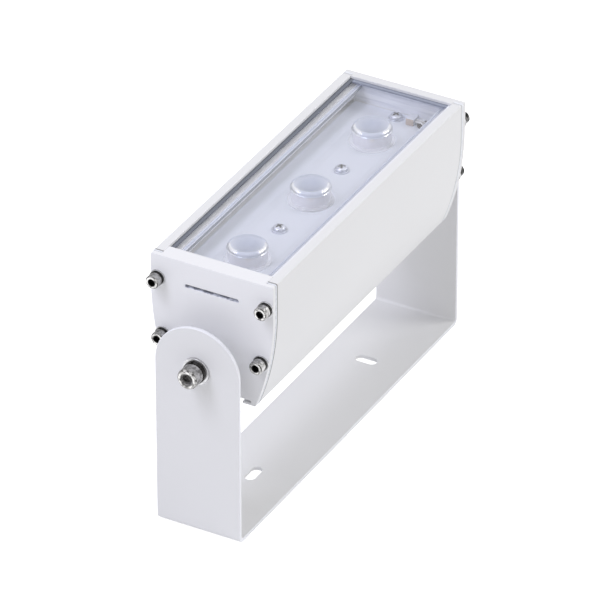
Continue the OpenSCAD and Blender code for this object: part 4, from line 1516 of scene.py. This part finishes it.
@dataclass
class LightEngine:
    """The board with its chips, lenses, holders, screws and connector.

    Attributes:
        pitch: The distance between the lenses.
        count: How many lenses there are.
        top_d: The greatest diameter of a lens, under its shoulder.
        base_d: Its diameter at the board.
        height: Its height.
        shoulder: The radius of its rounded shoulder.
        bead: How far the bead under the shoulder stands out.
        flute: The depth of the flutes in the shoulder.
        dish_d: The depth of the dish in its top.
        cavity_d: The diameter of the cavity over the chip.
        cavity_h: The height of that cavity.
        flutes: How many fine flutes the shoulder has.
        flute_points: How many points of a ring each of them takes.
        contact_w: The length of the connector's contacts.
        screw: The board screws.
        screw_turns: How far each board screw is turned, in degrees.
        sharp: The angle in degrees from which an edge of a lens or a screw stays sharp.
        holder_edge: The softening of the lens holders.
        washer_edge: The softening of the board washers.
        connector_edge: The softening of the connector.
        foot: The rounding at a lens's foot.
        crown: The depth of the cavity's domed top.
        dish_end: The radius of the dish's innermost ring, as a share of the dish's.
        coarse: How many steps the cavity's top and the lens's side have.
        fine: How many steps the shoulder and the dish have.
        bright_w: The width of the painted highlight on the shoulder's bead.
    """

    pitch: float = 75 * MM
    count: int = 3
    top_d: float = 24.4 * MM
    base_d: float = 23.2 * MM
    height: float = 11.5 * MM
    shoulder: float = 2.2 * MM
    bead: float = 0.25 * MM
    flute: float = 0.07 * MM
    dish_d: float = 2.4 * MM
    cavity_d: float = 7 * MM
    cavity_h: float = 4 * MM
    flutes: int = 60
    flute_points: int = 4
    contact_w: float = 0.7 * MM
    screw: CrossScrew = CrossScrew(head_d=7.5 * MM, head_h=2.4 * MM, shank_d=4 * MM, grip=5.6 * MM)
    screw_turns: tuple[float, ...] = (10, 55, 30, 70)
    sharp: float = 30
    holder_edge: float = 0.5 * MM
    washer_edge: float = 0.1 * MM
    connector_edge: float = 0.4 * MM
    foot: float = 0.2 * MM
    crown: float = 0.7 * MM
    dish_end: float = 0.02
    coarse: int = 6
    fine: int = 12
    bright_w: float = 0.2 * MM

    def build(self) -> None:
        """Builds the lenses and the board screws and dresses the rest."""
        dress(["led_board"], SolderMask("solder_mask", pitch=self.pitch))
        dress(["thermal_pad"], PAD)
        dress(["led_chips"], Chip("phosphor_chip", pitch=self.pitch))
        softened("lens_holders", "clear_lens_rings", HOLDER_ACRYLIC, self.holder_edge)
        softened("board_washers", "board_screw_washers", PLATED_STEEL, self.washer_edge)
        contact_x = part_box("board_connector")[0].x + self.contact_w
        header = Header("header_nylon", colour=levels(229, 232, 240), contact_x=contact_x)
        softened("board_connector", "moulded_board_connector", header, self.connector_edge)
        dress(["lead_grommet"], GROMMET)
        dress(["led_leads"], SHEATH)
        self._lenses()
        self._screws()

    def _lens_rings(self) -> tuple[list[Ring], list[int]]:
        """The rings of one lens and the finishes of its last rings, from its cavity round to its dish."""
        count = self.flute_points * self.flutes
        top_r, base_r, cavity_r = self.top_d / 2, self.base_d / 2, self.cavity_d / 2
        neck_h = self.height - self.shoulder
        rings = [tip(self.cavity_h)]
        for share in steps(self.coarse)[1:]:
            turn = math.pi / 2 * share
            drop = self.crown * (1 - math.cos(turn))
            rings.append(circle(cavity_r * math.sin(turn), self.cavity_h - drop, count))
        rings += [circle(cavity_r, 0, count), circle(base_r - self.foot, 0, count)]
        for share in steps(self.coarse):
            height = self.foot + (neck_h - 3 * self.bead - self.foot) * share
            rings.append(circle(base_r + (top_r - self.bead - base_r) * share, height, count))
        rings += [circle(top_r, neck_h - 2 * self.bead, count), circle(top_r, neck_h - self.bead, count)]
        shoulder = self._shoulder(top_r - self.bead, neck_h, count)
        dish = []
        for share in steps(self.fine)[1:]:
            drop = self.dish_d * math.sin(math.pi / 2 * share)
            radius = self._rim_r * (1 - (1 - self.dish_end) * share)
            dish.append(circle(radius, self.height - drop, count))
        dish.append(tip(self.height - self.dish_d))
        zones = [1] * (2 + len(shoulder)) + [2] * len(dish)
        return rings + shoulder + dish, zones

    @property
    def _rim_r(self) -> float:
        """The radius of a lens's dish."""
        return self.top_d / 2 - self.bead - self.shoulder

    def _shoulder(self, foot_r: float, foot_h: float, count: int) -> list[Ring]:
        """The rounded shoulder with its radial flutes.

        Args:
            foot_r: The radius of its foot.
            foot_h: The height of its foot.
            count: How many points each ring has.

        Returns:
            Its rings from the foot up.
        """
        rings = []
        for share in steps(self.fine):
            turn = math.pi / 2 * share
            radius = foot_r - self.shoulder * (1 - math.cos(turn))
            depth = self.flute * math.sin(2 * turn)
            reaches = [radius + depth * math.cos(self.flutes * angle) for angle in even_turns(count)]
            rings.append(polar(reaches, foot_h + self.shoulder * math.sin(turn)))
        return rings

    def _lenses(self) -> None:
        """Builds the row of lenses on the board."""
        board_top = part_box("led_board")[1].z
        rings, zones = self._lens_rings()
        loft = Loft()
        for i in range(self.count):
            x = (i - (self.count - 1) / 2) * self.pitch
            loft.add(rings, Matrix.Translation((x, 0, board_top)), zones)
        top = LensDish(
            "lens_top_acrylic",
            # Painted shade: the dish's haze is dark blue-grey in its middle.
            haze=levels(170, 178, 199),
            cloudy=0.74,
            pitch=self.pitch,
            rim_r=self._rim_r,
        )
        # Painted highlights on the lens shoulders, fixed in their place.
        edge = FlutedShoulder(
            "lens_shoulder_acrylic",
            pitch=self.pitch,
            bead_r=self.top_d / 2 - self.bright_w,
            flutes=self.flutes,
        )
        made = loft.build("fluted_lenses", (LENS_SIDE, edge, top), Body.LAMP, self.sharp)
        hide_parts("lenses")

    def _screws(self) -> None:
        """Builds the board screws on their washers."""
        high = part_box("board_screws")[1]
        seat = high.z - self.screw.head_h
        end_x = high.x - self.screw.head_d / 2
        loft = Loft()
        for x, turn in zip((-end_x, -self.pitch / 2, self.pitch / 2, end_x), self.screw_turns):
            place = Matrix.Translation((x, 0, seat)) @ Matrix.Rotation(math.radians(turn), 4, "Z")
            loft.add(self.screw.rings(), place, self.screw.zones)
        made = loft.build("cross_recess_board_screws", (PLATED_STEEL, BOLT_SOCKET), Body.LAMP, self.sharp)
        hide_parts("board_screws")


@dataclass
class Wiring:
    """The driver, the terminals, the earth screw and the leads."""

    def build(self) -> None:
        """Dresses the nodes inside the housing."""
        dress(["driver_case"], BLACK_PLASTIC)
        dress(["driver_potting"], RESIN)
        dress(["driver_screws", "terminal_fixing_screws", "earth_screw"], STEEL)
        dress(["terminal_block"], WHITE_PLASTIC)
        dress(["terminal_clamp_screws", "earth_tag"], BRASS)
        dress(["supply_leads", "earth_lead"], SHEATH)


@dataclass
class Gland:
    """The cable gland under the housing.

    Attributes:
        edge: The softening of its body and its dome nut.
    """

    edge: float = 0.3 * MM

    def build(self) -> None:
        """Dresses the gland's nodes."""
        softened("gland_body", "moulded_gland_body", BLACK_PLASTIC, self.edge)
        softened("gland_dome_nut", "moulded_dome_nut", BLACK_PLASTIC, self.edge)
        dress(["gland_lock_nut"], BLACK_PLASTIC)
        dress(["gland_face_seal", "gland_insert"], SILICONE)


@dataclass(frozen=True)
class SoftLamp:
    """A square area lamp that looks at the object.

    Attributes:
        name: The lamp's name.
        azimuth: Its direction about Z in degrees, where 0 is in front, at -Y.
        elevation: Its height above the horizon in degrees.
        distance: How far it stands from the object's middle.
        size: The length of its sides.
        power: Its power in watts.
        colour: Its colour.
    """

    name: str
    azimuth: float
    elevation: float
    distance: float
    size: float
    power: float
    colour: tuple[float, float, float] = (1.0, 1.0, 1.0)

    def build(self, target: Vector) -> None:
        """Hangs the lamp and turns it to the target."""
        light = bpy.data.lights.new(self.name, "AREA")
        light.shape = "SQUARE"
        light.size = self.size
        light.energy = self.power
        light.color = self.colour
        lamp = bpy.data.objects.new(self.name, light)
        back = direction(self.azimuth, self.elevation)
        lamp.location = target + back * self.distance
        lamp.rotation_euler = (-back).to_track_quat("-Z", "Y").to_euler()
        bpy.context.scene.collection.objects.link(lamp)


def direction(azimuth: float, elevation: float) -> Vector:
    """The unit vector from the object towards an azimuth and an elevation in degrees."""
    a, e = math.radians(azimuth), math.radians(elevation)
    return Vector((math.sin(a) * math.cos(e), -math.cos(a) * math.cos(e), math.sin(e)))


@dataclass
class Studio:
    """The camera, the floor, the world and the lamps.

    Attributes:
        azimuth: The camera's direction about Z in degrees.
        elevation: The camera's height above the horizon in degrees.
        distance: The distance from the camera to its target.
        focal: The focal length in millimetres.
        sensor: The width of the camera's sensor in millimetres.
        clip: The nearest and the furthest distance that the camera sees.
        target: The point that the camera looks at.
        floor_half: Half of the floor's width.
        floor_z: The floor's height.
        floor_colour: The floor's colour.
        ambient: The strength of the world's light on the object.
        floor_glow: What the floor shows to the camera besides the light that falls on it.
        lamps: The lamps.
    """

    azimuth: float = -61.24
    elevation: float = 32.57
    distance: float = 3.902
    focal: float = 392.2
    sensor: float = 36
    clip: tuple[float, float] = (0.1, 50)
    target: tuple[float, float, float] = (-0.00511, 0.00035, 0.08214)
    floor_half: float = 6.0
    floor_z: float = -0.2 * MM
    floor_colour: Colour = levels(240, 240, 240)
    ambient: float = 0.52
    floor_glow: float = 0.8
    lamps: tuple[SoftLamp, ...] = (
        SoftLamp("right_softbox", 39, 46, 1.6, 0.5, 5.7),
        SoftLamp("left_softbox", -118, 58, 1.7, 0.5, 7.7, (0.88, 0.89, 1.0)),
        SoftLamp("left_fill", -118, 38, 1.7, 0.7, 3.4, (0.76, 0.77, 1.0)),
        SoftLamp("right_fill", -12, 22, 1.7, 0.9, 2.0),
    )

    def build(self) -> None:
        """Sets the stage."""
        self._camera()
        self._floor()
        self._world()
        for lamp in self.lamps:
            lamp.build(Vector(self.target))
        bpy.context.scene.view_settings.view_transform = "Standard"

    def _camera(self) -> None:
        """Sets the camera at the photograph's viewing angle."""
        camera = bpy.data.cameras.new("camera")
        camera.sensor_width = self.sensor
        camera.lens = self.focal
        made = bpy.data.objects.new("camera", camera)
        back = direction(self.azimuth, self.elevation)
        made.location = Vector(self.target) + back * self.distance
        made.rotation_mode = "QUATERNION"
        made.rotation_quaternion = (-back).to_track_quat("-Z", "Y")
        camera.clip_start, camera.clip_end = self.clip
        bpy.context.scene.collection.objects.link(made)
        bpy.context.scene.camera = made

    def _floor(self) -> None:
        """Lays a plain pale floor that shows as white, keeps the object's shadow and is clear from below."""
        half, height = self.floor_half, self.floor_z
        corners = [(-half, -half, height), (half, -half, height), (half, half, height), (-half, half, height)]
        mesh = bpy.data.meshes.new("floor")
        mesh.from_pydata(corners, [], [(0, 1, 2, 3)])
        material = bpy.data.materials.new("pale_floor")
        material.use_nodes = True
        graph = Graph(material.node_tree)
        seen = graph.rays(*SIGHT_RAYS)
        paint = graph.surface(
            {
                "Base Color": self.floor_colour,
                "Roughness": 0.9,
                "Specular IOR Level": 0.0,
                "Emission Color": graph.blend(seen, BLACK, dimmed(WHITE, self.floor_glow)),
                "Emission Strength": 1.0,
            }
        )
        below = graph.node("ShaderNodeNewGeometry", output="Backfacing")
        clear = graph.node("ShaderNodeBsdfTransparent")
        graph.show(graph.mix(below, paint, clear))
        mesh.materials.append(material)
        floor = bpy.data.objects.new("floor", mesh)
        bpy.context.scene.collection.objects.link(floor)

    def _world(self) -> None:
        """Makes a plain world that is white to look at and gives even light."""
        world = bpy.data.worlds.new("world")
        bpy.context.scene.world = world
        world.use_nodes = True
        graph = Graph(world.node_tree)
        seen = graph.rays(*SIGHT_RAYS)
        strength = self.ambient + (1 - self.ambient) * seen
        backdrop = graph.node("ShaderNodeBackground", None, {"Color": WHITE, "Strength": strength})
        graph.show(backdrop, "ShaderNodeOutputWorld")


def main() -> None:
    """Builds the light and its stage, and reports each piece."""
    logging.basicConfig(level=logging.INFO, format="%(name)s: %(message)s")
    Studio().build()
    for part in (Bracket(), LampShell(), Fasteners(), LightEngine(), Wiring(), Gland()):
        part.build()
        log.info("%s is done", type(part).__name__)


if __name__ == "__main__":
    main()
